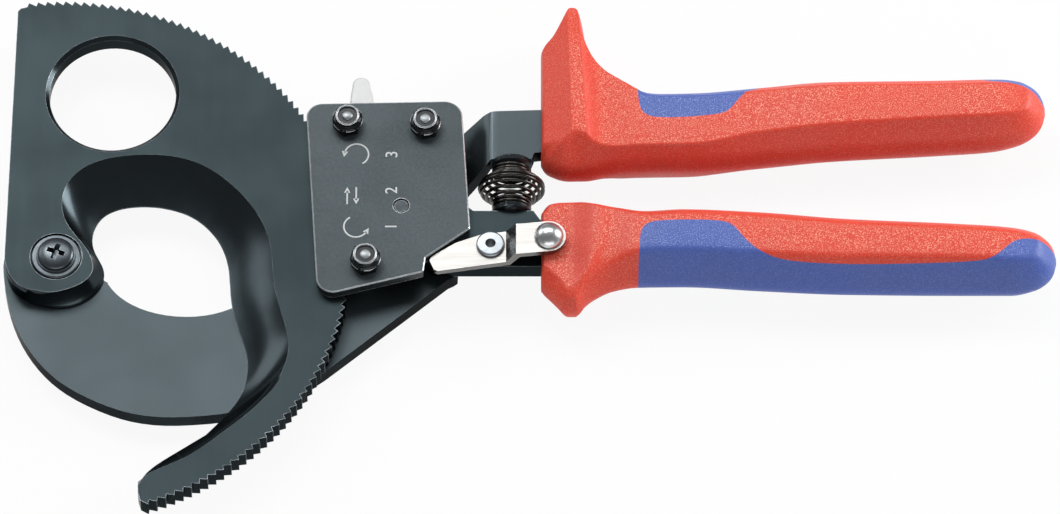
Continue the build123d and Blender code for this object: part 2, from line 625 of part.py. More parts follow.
with BuildPart() as handle_shank:
    with BuildSketch(Plane.XY.offset(SHANK_BOTTOM)) as shank_plan:
        with Locations(HANDLE_PIVOT):
            Circle(HEAD_RADIUS)
        with Locations(FEED_PIVOT):
            Circle(FEED_LOBE_RADIUS)
        Polygon(
            (82.2, 17.0), (92.2, 19.2), (92.0, 8.1), (82.3, 10.8),
            align=None,
        )
        with BuildLine() as shank_line:
            Polyline(
                (92.2, 19.2), (101.0, 18.6), (109.0, 15.6), (110.9, 13.9), *LOWER_TANG,
                (100.2, -3.0), (98.6, -1.6), (96.0, 3.4), (92.0, 8.1), (92.2, 19.2),
            )
        make_face()
        with Locations(HANDLE_PIVOT):
            Circle(HANDLE_PIN_RADIUS + RUN_CLEARANCE, mode=Mode.SUBTRACT)
        with Locations(FEED_PIVOT):
            Circle(FEED_PIN_RADIUS, mode=Mode.SUBTRACT)
        with Locations(RIVET_SPOT):
            Circle(RIVET_RADIUS, mode=Mode.SUBTRACT)
    extrude(amount=SHANK_TOP - SHANK_BOTTOM)
    # Fork for the feed pawl: the pawl swings in a slot between the two cheeks.
    with BuildSketch(Plane.XY.offset(FEED_BOTTOM - FORK_CLEARANCE)) as fork_slot:
        with Locations(FEED_PIVOT):
            Circle(FEED_LOBE_RADIUS + 0.3)
        Polygon(
            (82.0, 13.9), (78.0, 6.0), (86.0, 2.0), (93.4, 5.5), (93.2, 6.8), (89.55, 10.15),
            (84.85, 15.3),
            align=None,
        )
    extrude(amount=FEED_PAWL_THICK + 2 * FORK_CLEARANCE, mode=Mode.SUBTRACT)
    # Groove that holds the root of the leaf spring.
    add(feed_pawl_spring.part, mode=Mode.SUBTRACT)
handle_shank.part.label = "handle_shank"

# ---------------------------------------------------------------- latch
with BuildPart() as latch_washer:
    with BuildSketch(Plane.XY.offset(SHANK_TOP)) as latch_washer_plan:
        with Locations(RIVET_SPOT):
            Circle(4.0)
            Circle(RIVET_RADIUS + 0.1, mode=Mode.SUBTRACT)
    extrude(amount=LATCH_WASHER_THICK)
latch_washer.part.label = "latch_washer"

with BuildPart() as latch_lever:
    with BuildSketch(Plane.XY.offset(LATCH_BOTTOM)) as latch_plan:
        with BuildLine() as latch_line:
            Polyline(
                (100.5, -0.78), (106.4, 2.9), (113.1, 5.4), (119.6, 6.3), (124.4, 6.6),
                (130.4, 7.2),
            )
            ThreePointArc((130.4, 7.2), (135.6, 3.0), (131.6, -1.7))
            Polyline(
                (131.6, -1.7), (122.6, -2.6), (119.6, -2.9), (101.6, -5.6), (100.6, -5.2),
                (99.4, -2.4), (99.75, -1.6), (100.5, -0.78),
            )
        make_face()
        with Locations(RIVET_SPOT):
            Circle(RIVET_RADIUS + RUN_CLEARANCE, mode=Mode.SUBTRACT)
        with Locations(KNOB_SPOT):
            Circle(1.5, mode=Mode.SUBTRACT)
    extrude(amount=LATCH_THICK + LATCH_RISE)
    # The thumb end is joggled up clear of the grip.
    with BuildSketch(Plane.XZ) as latch_side:
        Polygon(
            (90.0, LATCH_BOTTOM), (120.7, LATCH_BOTTOM), (123.4, LATCH_BOTTOM + LATCH_RISE),
            (140.0, LATCH_BOTTOM + LATCH_RISE), (140.0, LATCH_TOP + LATCH_RISE),
            (122.4, LATCH_TOP + LATCH_RISE), (119.7, LATCH_TOP), (90.0, LATCH_TOP),
            align=None,
        )
    extrude(amount=100, both=True, mode=Mode.INTERSECT)
latch_lever.part.label = "latch_lever"

with BuildPart() as latch_rivet:
    with BuildSketch(Plane.XY.offset(SHANK_BOTTOM)) as rivet_tube:
        with Locations(RIVET_SPOT):
            Circle(RIVET_RADIUS)
    extrude(amount=LATCH_TOP + 0.1 - SHANK_BOTTOM)
    with BuildSketch(Plane.XY.offset(LATCH_TOP + 0.1)) as rivet_head:
        with Locations(RIVET_SPOT):
            Circle(3.8)
    extrude(amount=1.1)
    fillet(latch_rivet.edges().group_by(Axis.Z)[-1], 0.7)
    with BuildSketch(Plane.XY.offset(LATCH_TOP + 1.2)) as rivet_bore:
        with Locations(RIVET_SPOT):
            Circle(RIVET_BORE)
    extrude(amount=-12, mode=Mode.SUBTRACT)
latch_rivet.part.label = "latch_rivet"

# The knob is a cap of a sphere: 2.8 high above its rim.
DOME_RADIUS = (KNOB_RADIUS**2 + 2.8**2) / (2 * 2.8)
DOME_START = degrees(asin((DOME_RADIUS - 2.8) / DOME_RADIUS))

with BuildPart() as latch_knob:
    knob_plane = Plane((*KNOB_SPOT, THUMB_TOP), x_dir=(1, 0, 0), z_dir=(0, -1, 0))
    with BuildSketch(knob_plane) as knob_side:
        with BuildLine() as knob_line:
            Polyline(
                (0.0, -LATCH_THICK - 0.5), (2.1, -LATCH_THICK - 0.5), (2.1, -LATCH_THICK),
                (1.5, -LATCH_THICK), (1.5, 0.0), (KNOB_RADIUS, 0.0), (KNOB_RADIUS, 0.5),
            )
            CenterArc((0.0, 3.3 - DOME_RADIUS), DOME_RADIUS, DOME_START, 90 - DOME_START)
            Line((0.0, 3.3), (0.0, -LATCH_THICK - 0.5))
        make_face()
    revolve(axis=Axis((KNOB_SPOT[0], KNOB_SPOT[1], 0), (0, 0, 1)))
latch_knob.part.label = "latch_knob"

# ---------------------------------------------------------------- opening spring and its seats
seat_spots = ((SPRING_BOTTOM - SEAT_THICK, 1), (SPRING_TOP + SEAT_THICK, -1))
seats = []
for height, way in seat_spots:
    with BuildPart() as seat:
        seat_plane = Plane((SPRING_X, height, GRIP_MID), z_dir=(0, way, 0))
        with BuildSketch(seat_plane) as seat_plan:
            Circle(SEAT_RADIUS)
        extrude(amount=SEAT_THICK - 0.02)
        with BuildSketch(seat_plane) as peg_plan:
            Circle(SEAT_PEG_RADIUS)
        extrude(amount=SEAT_THICK + 2.6)
        chamfer(seat.faces().sort_by(Axis.Y)[-1 if way > 0 else 0].edges(), 0.5)
    seats.append(seat)
spring_seat_lower, spring_seat_upper = seats
spring_seat_lower.part.label = "spring_seat_lower"
spring_seat_upper.part.label = "spring_seat_upper"

SPRING_STEPS = 12


def coil_point(step):
    """A point of the barrel coil's centre line: narrow ends, a wide belly."""
    share = step / (SPRING_TURNS * SPRING_STEPS)
    turn = 2 * pi * step / SPRING_STEPS
    radius = SPRING_END_RADIUS + SPRING_BELLY * sin(pi * share) ** 3
    low = SPRING_BOTTOM + SPRING_WIRE
    high = SPRING_TOP - SPRING_WIRE
    return (
        SPRING_X + radius * cos(turn),
        low + (high - low) * share,
        GRIP_MID + radius * sin(turn),
    )


with BuildPart() as opening_spring:
    with BuildLine() as spring_line:
        Spline(*[coil_point(step) for step in range(int(SPRING_TURNS * SPRING_STEPS) + 1)])
    coil = spring_line.edges()[0]
    with BuildSketch(Plane(coil @ 0, z_dir=coil % 0)) as spring_wire:
        Circle(SPRING_WIRE)
    sweep(path=coil, is_frenet=True)
opening_spring.part.label = "opening_spring"

# ---------------------------------------------------------------- grips
# Each row: distance along the tool, upper edge, lower edge, half thickness.
UPPER_ROWS = spread([
    (GRIP_FRONT, 50.0, 29.4, 6.6), (137.0, 53.0, 25.6, 8.8), (146.0, 53.0, 26.6, 9.8),
    (155.0, 51.0, 27.7, 9.6), (167.0, 50.4, 27.7, 9.4), (187.0, 52.1, 29.4, 9.6),
    (206.0, 54.0, 31.2, 9.8), (235.0, 54.4, 33.0, 9.8), (252.0, 54.8, 34.8, 9.3),
    (261.0, 53.0, 39.4, 6.6), (264.4, 49.6, 43.2, 3.4),
])
LOWER_ROWS = spread([
    (GRIP_FRONT, 13.9, -9.2, 5.8), (137.0, 16.4, -10.6, 6.2), (146.0, 15.6, -9.0, 8.6),
    (155.0, 14.4, -7.0, 9.5), (167.0, 14.9, -7.0, 9.4), (187.0, 14.0, -8.4, 9.6),
    (210.0, 12.0, -9.4, 9.8), (240.0, 10.5, -9.7, 9.6), (254.0, 9.3, -9.7, 9.0),
    (262.0, 7.4, -7.6, 6.6), (266.2, 3.6, -3.6, 3.4),
])
# Each row of a guard: height across the tool, front, back, ridge start, ridge end, half
# thickness. The ridge is the thick band down the middle of the guard.
UPPER_GUARD = [
    (25.0, 134.0, 148.0, 137.8, 142.2, 5.4), (27.6, 129.8, 154.0, 137.8, 142.4, 7.8),
    (31.6, 129.0, 158.0, 137.8, 142.4, 10.3), (38.0, 129.0, 158.0, 137.8, 142.4, 10.6),
    (50.4, 129.0, 153.6, 137.4, 141.6, 10.4), (54.2, 129.0, 148.4, 137.2, 141.2, 10.0),
    (58.8, 129.0, 144.4, 137.0, 140.8, 9.4), (62.4, 129.2, 142.8, 136.8, 140.4, 8.8),
    (67.4, 132.4, 141.3, 136.6, 139.9, 7.6), (73.6, 135.1, 140.0, 136.2, 139.3, 6.0),
    (75.5, 135.9, 139.5, 136.5, 138.9, 5.2),
]
LOWER_GUARD = [
    (6.0, 131.0, 149.0, 137.0, 141.6, 5.0), (0.0, 129.0, 152.0, 136.8, 141.4, 6.5),
    (-6.4, 129.0, 150.0, 136.4, 141.0, 6.5), (-9.4, 129.0, 145.0, 136.0, 140.4, 6.3),
    (-12.2, 131.6, 141.6, 135.8, 139.6, 5.9), (-14.9, 134.0, 139.6, 135.4, 138.6, 5.2),
    (-16.0, 134.8, 138.8, 135.6, 138.0, 4.6),
]
UPPER_ZONE = spread([
    (155.2, 60.0), (155.4, 44.4), (157.0, 42.2), (160.0, 41.2), (168.0, 41.6), (178.6, 43.0),
    (181.0, 44.6), (183.8, 48.8), (188.0, 53.0), (190.0, 60.0),
])
UPPER_END_ZONE = spread([
    (246.0, 60.0), (247.6, 55.0), (250.0, 52.8), (254.0, 51.8), (259.4, 51.4), (262.6, 49.4),
    (270.0, 47.0), (270.0, 60.0),
])
LOWER_ZONE = spread([
    (154.8, -20.0), (155.6, 5.4), (156.6, 8.2), (160.0, 9.4), (171.9, 9.8), (177.8, 9.6),
    (180.4, 8.0), (183.3, 4.1), (187.9, 0.2), (193.0, -2.0), (206.9, -3.2), (221.0, -3.5),
    (245.6, -3.4), (249.4, -2.2), (252.4, 0.6), (254.8, 3.2), (258.6, 3.8), (262.8, 2.4),
    (270.0, -1.0), (270.0, -20.0),
])


def grip_section(upper, lower, half, inset):
    """Corners of a grip's soft eight-sided section."""
    wide = (upper - lower) / 2 - inset
    tall = half - inset
    middle = (upper + lower) / 2
    corner = wide * 0.46
    corners = [
        (wide, 0.26 * tall), (wide - corner, tall), (corner - wide, tall), (-wide, 0.26 * tall),
        (-wide, -0.26 * tall), (corner - wide, -tall), (wide - corner, -tall),
        (wide, -0.26 * tall),
    ]
    return [(middle + across, GRIP_MID + up) for across, up in corners]


grips = []
for rows, guard, zones, tang in (
    (
        UPPER_ROWS, UPPER_GUARD, (UPPER_ZONE, UPPER_END_ZONE),
        [(120.0, 31.0), *UPPER_TANG, (120.0, 44.8)],
    ),
    (
        LOWER_ROWS, LOWER_GUARD, (LOWER_ZONE,),
        [(120.0, 13.9), *LOWER_TANG, (120.0, -3.0)],
    ),
):
    with BuildPart() as guard_solid:
        for across, front, back, ridge_start, ridge_end, half in guard:
            guard_plane = Plane((0, across, GRIP_MID), x_dir=(1, 0, 0), z_dir=(0, 1, 0))
            with BuildSketch(guard_plane) as guard_station:
                Polygon(
                    (front, 0.4 * half), (ridge_start, half), (ridge_end, half),
                    (back, 0.4 * half), (back, -0.4 * half), (ridge_end, -half),
                    (ridge_start, -half), (front, -0.4 * half),
                    align=None,
                )
        loft(ruled=True)
    with BuildPart() as skin:
        for along, upper, lower, half in rows:
            with BuildSketch(Plane.YZ.offset(along)) as station:
                Polygon(*grip_section(upper, lower, half, 0.0), align=None)
                fillet(station.vertices(), 0.3 * half)
        loft()
        add(guard_solid.part)
    with BuildPart() as core:
        for along, upper, lower, half in rows[:-1]:
            with BuildSketch(Plane.YZ.offset(along)) as station:
                Polygon(*grip_section(upper, lower, half, GRIP_SKIN), align=None)
                fillet(station.vertices(), 0.3 * (half - GRIP_SKIN))
        loft()
    low_face = ARM_RISE if rows is UPPER_ROWS else SHANK_BOTTOM
    tang_thick = ARM_THICK if rows is UPPER_ROWS else SHANK_TOP - SHANK_BOTTOM
    with BuildPart() as inlay:
        add(skin.part)
        add(core.part, mode=Mode.SUBTRACT)
        with BuildSketch(Plane.XY.offset(GRIP_MID - 20)) as zone_plan:
            for zone in zones:
                Polygon(*zone, align=None)
        extrude(amount=40, mode=Mode.INTERSECT)
        with BuildSketch(Plane.XY.offset(low_face)) as tang_plan:
            Polygon(*tang, align=None)
        extrude(amount=tang_thick, mode=Mode.SUBTRACT)
    with BuildPart() as grip:
        add(skin.part)
        add(inlay.part, mode=Mode.SUBTRACT)
        with BuildSketch(Plane.XY.offset(low_face)) as tang_plan:
            Polygon(*tang, align=None)
        extrude(amount=tang_thick, mode=Mode.SUBTRACT)
    grips.append((grip, inlay))
upper_grip, upper_inlay = grips[0]
lower_grip, lower_inlay = grips[1]
upper_grip.part.label = "upper_grip"
upper_inlay.part.label = "upper_grip_inlay"
lower_grip.part.label = "lower_grip"
lower_inlay.part.label = "lower_grip_inlay"

# ---------------------------------------------------------------- export
pieces = [
    frame, moving_blade, pivot_bush, pivot_washer, pivot_screw, pivot_nut, cover_plate,
    housing_bolts, lock_nuts, nut_inserts, bolt_spacers, retaining_pawl, release_tab,
    pawl_spring_post, pawl_spring, handle_pin, feed_pawl, feed_pawl_pin, feed_pawl_spring,
    handle_shank, latch_washer, latch_lever, latch_rivet, latch_knob, spring_seat_lower,
    spring_seat_upper, opening_spring, upper_grip, upper_inlay, lower_grip, lower_inlay,
]

whole = Compound(children=[Compound(piece.part.solids()) for piece in pieces])
bounds = whole.bounding_box()
footprint = (
    -(bounds.min.X + bounds.max.X) / 2, -(bounds.min.Y + bounds.max.Y) / 2, -bounds.min.Z
)
print("blade pivot stands at", [round(value, 4) for value in footprint])

os.makedirs("parts", exist_ok=True)
for piece in pieces:
    placed = piece.part.moved(Location(footprint))
    placed.label = piece.part.label
    export_step(placed, "parts/" + piece.part.label + ".step")
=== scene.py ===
import json
import logging
import math
from dataclasses import dataclass, field
from enum import Enum
from typing import Optional, Sequence

import bmesh
import bpy
import numpy as np
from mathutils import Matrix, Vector

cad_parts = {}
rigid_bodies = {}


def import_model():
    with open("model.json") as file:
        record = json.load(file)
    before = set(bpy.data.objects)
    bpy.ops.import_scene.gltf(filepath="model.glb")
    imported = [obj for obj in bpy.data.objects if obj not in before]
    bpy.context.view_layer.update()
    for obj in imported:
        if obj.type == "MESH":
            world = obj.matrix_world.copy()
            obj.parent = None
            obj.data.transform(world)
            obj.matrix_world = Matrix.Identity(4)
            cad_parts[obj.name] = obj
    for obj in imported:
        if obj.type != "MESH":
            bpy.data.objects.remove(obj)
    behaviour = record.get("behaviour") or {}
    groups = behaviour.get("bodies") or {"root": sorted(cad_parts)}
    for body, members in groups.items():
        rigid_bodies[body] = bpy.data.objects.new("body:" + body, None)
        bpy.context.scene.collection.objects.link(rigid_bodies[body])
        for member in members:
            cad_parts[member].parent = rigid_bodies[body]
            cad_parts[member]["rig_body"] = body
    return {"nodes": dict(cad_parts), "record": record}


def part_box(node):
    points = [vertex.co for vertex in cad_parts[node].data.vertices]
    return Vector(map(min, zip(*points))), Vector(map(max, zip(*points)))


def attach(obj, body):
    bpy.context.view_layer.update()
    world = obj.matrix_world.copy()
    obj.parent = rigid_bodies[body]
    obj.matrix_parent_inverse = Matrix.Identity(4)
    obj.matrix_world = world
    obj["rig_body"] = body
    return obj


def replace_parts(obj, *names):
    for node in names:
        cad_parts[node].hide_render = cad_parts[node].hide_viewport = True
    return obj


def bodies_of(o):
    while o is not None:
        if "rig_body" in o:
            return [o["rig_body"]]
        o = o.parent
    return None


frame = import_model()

logging.basicConfig(level=logging.INFO, format="%(name)s: %(message)s")
LOG = logging.getLogger("cable_cutter")

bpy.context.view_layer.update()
MM = 0.001

# The upright share of a face's normal past which the face counts as level.
LEVEL = math.cos(math.radians(1.5))

# How far apart two points may be and still be welded into one.
WELD_GAP = 0.002 * MM

# The crease angles, in degrees, below which grips and other round pieces are shaded smooth.
ROUND_CREASE = 60.0

Colour = tuple[float, float, float]
Array = np.ndarray
Socket = bpy.types.NodeSocket
Faces = Sequence[Sequence[int]]
Rows = tuple[tuple[float, float], ...]
Shape = tuple[Array, list[tuple[int, ...]]]


def srgb(red: int, green: int, blue: int) -> Colour:
    """Turn a screen colour into the linear colour that a shader takes.

    Args:
        red: Red from 0 to 255.
        green: Green from 0 to 255.
        blue: Blue from 0 to 255.

    Returns:
        The three linear values, each from 0 to 1.
    """
    values = np.array([red, green, blue], float) / 255.0
    linear = np.where(values <= 0.04045, values / 12.92, ((values + 0.055) / 1.055) ** 2.4)
    return (float(linear[0]), float(linear[1]), float(linear[2]))


class Grain(Enum):
    """How a surface was finished at the factory."""

    ALONG_Y = "ground with strokes along Y"
    ALONG_X = "ground with strokes along X"
    BLASTED = "blasted to an even fine grain"
    TURNED = "turned on a lathe"
    MOULDED = "moulded with a fine eroded skin"


STROKES: dict[Grain, tuple[float, float, float]] = {
    Grain.ALONG_Y: (2600.0, 55.0, 2600.0),
    Grain.ALONG_X: (55.0, 2600.0, 2600.0),
    Grain.BLASTED: (5200.0, 5200.0, 5200.0),
    Grain.TURNED: (700.0, 700.0, 5200.0),
    Grain.MOULDED: (3300.0, 3300.0, 3300.0),
}


@dataclass
class Wiring:
    """A small helper that adds and joins the nodes of one node tree."""

    tree: bpy.types.NodeTree

    def add(self, kind: str, **values: object) -> bpy.types.Node:
        """Add one node.

        Args:
            kind: The node's class, such as "ShaderNodeMath".
            **values: Properties, or with a leading "in_" default values of inputs by name.

        Returns:
            The new node.
        """
        node = self.tree.nodes.new(kind)
        for name, value in values.items():
            if name.startswith("in_"):
                key = name[3:]
                socket = node.inputs[int(key)] if key.isdigit() else node.inputs[key.replace("_", " ")]
                socket.default_value = value
            else:
                setattr(node, name, value)
        return node

    def join(self, source: Socket, target: Socket) -> None:
        """Link an output socket to an input socket."""
        self.tree.links.new(source, target)

    def feed(self, target: Socket, value: object) -> None:
        """Give an input what a socket puts out, a colour or a number.

        Args:
            target: The input.
            value: A socket, a colour or a number.
        """
        if isinstance(value, Socket):
            self.join(value, target)
        elif isinstance(value, tuple):
            target.default_value = (*value, 1.0)
        else:
            target.default_value = float(value)

    def maths(self, operation: str, first: object, second: object, clamp: bool = False) -> Socket:
        """Add a Math node.

        Args:
            operation: The operation's name, such as "MULTIPLY".
            first: A socket or a number.
            second: A socket or a number.
            clamp: Whether the result is held between 0 and 1.

        Returns:
            The node's output socket.
        """
        node = self.add("ShaderNodeMath", operation=operation, use_clamp=clamp)
        self.feed(node.inputs[0], first)
        self.feed(node.inputs[1], second)
        return node.outputs[0]

    def spread(self, value: Socket, low: float, high: float, start: float = 0.0, end: float = 1.0) -> Socket:
        """Map a value smoothly from one span to another and hold it there.

        Args:
            value: The socket to map.
            low: The value that becomes start.
            high: The value that becomes end.
            start: The result at low.
            end: The result at high.

        Returns:
            The mapped value's socket.
        """
        ends = {"in_1": low, "in_2": high, "in_3": start, "in_4": end}
        node = self.add("ShaderNodeMapRange", interpolation_type="SMOOTHSTEP", **ends)
        self.join(value, node.inputs[0])
        return node.outputs[0]

    def blend(self, share: object, first: object, second: object, mode: str = "MIX") -> Socket:
        """Mix two colours.

        Args:
            share: A socket or a number, 0 for the first colour and 1 for the second.
            first: A socket or a colour.
            second: A socket or a colour.
            mode: The blend type's name.

        Returns:
            The mixed colour's socket.
        """
        node = self.add("ShaderNodeMix", data_type="RGBA", blend_type=mode)
        for number, value in ((0, share), (6, first), (7, second)):
            self.feed(node.inputs[number], value)
        return node.outputs[2]

    def noise(self, over: Optional[Socket] = None, **values: object) -> bpy.types.Node:
        """Add a Noise node.

        Args:
            over: The vector it is worked out over, or None for the object's own coordinates.
            **values: The default values of its inputs, as add takes them.

        Returns:
            The node.
        """
        node = self.add("ShaderNodeTexNoise", **values)
        self.join(over or self.add("ShaderNodeTexCoord").outputs["Object"], node.inputs["Vector"])
        return node

    def show(self, kind: str, surface: Socket) -> None:
        """Add the output node of a material or world and send it a shader."""
        self.join(surface, self.add(kind).inputs["Surface"])


def cleared(owner: bpy.types.ID) -> Wiring:
    """Turn on a material's or a world's nodes, clear them and return their wiring."""
    owner.use_nodes = True
    owner.node_tree.nodes.clear()
    return Wiring(owner.node_tree)


def put_in(name: str, data: bpy.types.ID) -> bpy.types.Object:
    """Make an object of a mesh, curve, lamp or camera and link it to the scene."""
    thing = bpy.data.objects.new(name, data)
    bpy.context.scene.collection.objects.link(thing)
    return thing


class Groups:
    """The node groups that the finishes share, each built once."""

    def __init__(self) -> None:
        """Build every group."""
        self.wear_and_highlight = self._edge_wear_and_highlight()
        self.grain = self._grain()
        self.drift = self._drift()
        self.slope = self._slope()

    @staticmethod
    def _new(
        name: str, inputs: dict[str, object], outputs: Sequence[str]
    ) -> tuple[Wiring, bpy.types.Node, bpy.types.Node]:
        """Start a group.

        Args:
            name: The group's name.
            inputs: The first value of each input by name, a number or a vector.
            outputs: The names of its outputs, which all carry numbers.

        Returns:
            The wiring helper, the group's input node and its output node.
        """
        tree = bpy.data.node_groups.new(name, "ShaderNodeTree")
        for label, value in inputs.items():
            kind = "NodeSocketVector" if isinstance(value, tuple) else "NodeSocketFloat"
            tree.interface.new_socket(name=label, in_out="INPUT", socket_type=kind).default_value = value
        for label in outputs:
            tree.interface.new_socket(name=label, in_out="OUTPUT", socket_type="NodeSocketFloat")
        wiring = Wiring(tree)
        return wiring, wiring.add("NodeGroupInput"), wiring.add("NodeGroupOutput")

    def _edge_wear_and_highlight(self) -> bpy.types.NodeTree:
        """Build the edge mask of rubbing and painted edge highlights: where a rounded normal leaves the true
        one, broken up by noise.

        Returns:
            The group, with the inputs Radius, Amount and Break, and the output Mask.
        """
        first = {"Radius": 0.0004, "Amount": 1.0, "Break": 400.0}
        wiring, ins, outs = self._new("rubbed and highlit edges", first, ["Mask"])
        bevel = wiring.add("ShaderNodeBevel", samples=6)
        wiring.join(ins.outputs["Radius"], bevel.inputs["Radius"])
        dot = wiring.add("ShaderNodeVectorMath", operation="DOT_PRODUCT")
        wiring.join(bevel.outputs[0], dot.inputs[0])
        wiring.join(wiring.add("ShaderNodeNewGeometry").outputs["Normal"], dot.inputs[1])
        bent = wiring.maths("SUBTRACT", 1.0, dot.outputs["Value"], clamp=True)
        noise = wiring.noise(in_Detail=4.0, in_Roughness=0.6)
        wiring.join(ins.outputs["Break"], noise.inputs["Scale"])
        broken = wiring.spread(noise.outputs["Fac"], 0.30, 0.62, 0.25)
        worn_and_highlit = wiring.maths("MULTIPLY", wiring.spread(bent, 0.015, 0.16), broken)
        wiring.join(wiring.maths("MULTIPLY", worn_and_highlit, ins.outputs["Amount"], clamp=True), outs.inputs["Mask"])
        return wiring.tree

    def _grain(self) -> bpy.types.NodeTree:
        """Build the grain: a fine and a coarse noise stretched along the object's axes.

        Returns:
            The group, with the input Stretch and the outputs Value and Height.
        """
        wiring, ins, outs = self._new("factory grain", {"Stretch": (0.0, 0.0, 0.0)}, ["Value", "Height"])
        stretched = wiring.add("ShaderNodeVectorMath", operation="MULTIPLY")
        wiring.join(wiring.add("ShaderNodeTexCoord").outputs["Object"], stretched.inputs[0])
        wiring.join(ins.outputs["Stretch"], stretched.inputs[1])
        fine = wiring.noise(stretched.outputs[0], in_Scale=1.0, in_Detail=3.0, in_Roughness=0.62)
        coarse = wiring.noise(stretched.outputs[0], in_Scale=0.27, in_Detail=2.0, in_Roughness=0.5)
        mixed = wiring.maths(
            "ADD", wiring.maths("MULTIPLY", fine.outputs["Fac"], 0.65),
            wiring.maths("MULTIPLY", coarse.outputs["Fac"], 0.35),
        )
        wiring.join(mixed, outs.inputs["Height"])
        wiring.join(wiring.spread(mixed, 0.36, 0.64), outs.inputs["Value"])
        return wiring.tree

    def _drift(self) -> bpy.types.NodeTree:
        """Build the slow change of tone over a surface: one broad noise.

        Returns:
            The group, with the input Size and the output Value.
        """
        wiring, ins, outs = self._new("tone drift", {"Size": 40.0}, ["Value"])
        broad = wiring.noise(in_Detail=3.0, in_Roughness=0.55)
        wiring.join(ins.outputs["Size"], broad.inputs["Scale"])
        wiring.join(wiring.spread(broad.outputs["Fac"], 0.30, 0.70), outs.inputs["Value"])
        return wiring.tree

    def _slope(self) -> bpy.types.NodeTree:
        """Build the masks of leaning faces and of walls, from the upright share of the normal.

        Returns:
            The group, with the outputs Leaning and Upright.
        """
        wiring, _, outs = self._new("lean of the face", {}, ["Leaning", "Upright"])
        parts = wiring.add("ShaderNodeSeparateXYZ")
        wiring.join(wiring.add("ShaderNodeNewGeometry").outputs["Normal"], parts.inputs[0])
        height = wiring.maths("ABSOLUTE", parts.outputs["Z"], 0.0)
        wiring.join(wiring.spread(height, 0.960, 0.997, 1.0, 0.0), outs.inputs["Leaning"])
        wiring.join(wiring.spread(height, 0.03, 0.30, 1.0, 0.0), outs.inputs["Upright"])
        return wiring.tree


GROUPS = Groups()


# How dark and how light the drift makes the base colour, as shares of it.
DARK_DRIFT, LIGHT_DRIFT = 0.3, 1.7

# What the grain's hollows do to the colour, and how much grain and drift change the roughness.
GRAIN_SHADE: Colour = (0.55, 0.55, 0.55)
GRAIN_ROUGHNESS, DRIFT_ROUGHNESS = 0.35, 0.12

# How fine the painted sparkle highlights in a grip's skin are.
SPARKLE_SCALE = 3400.0


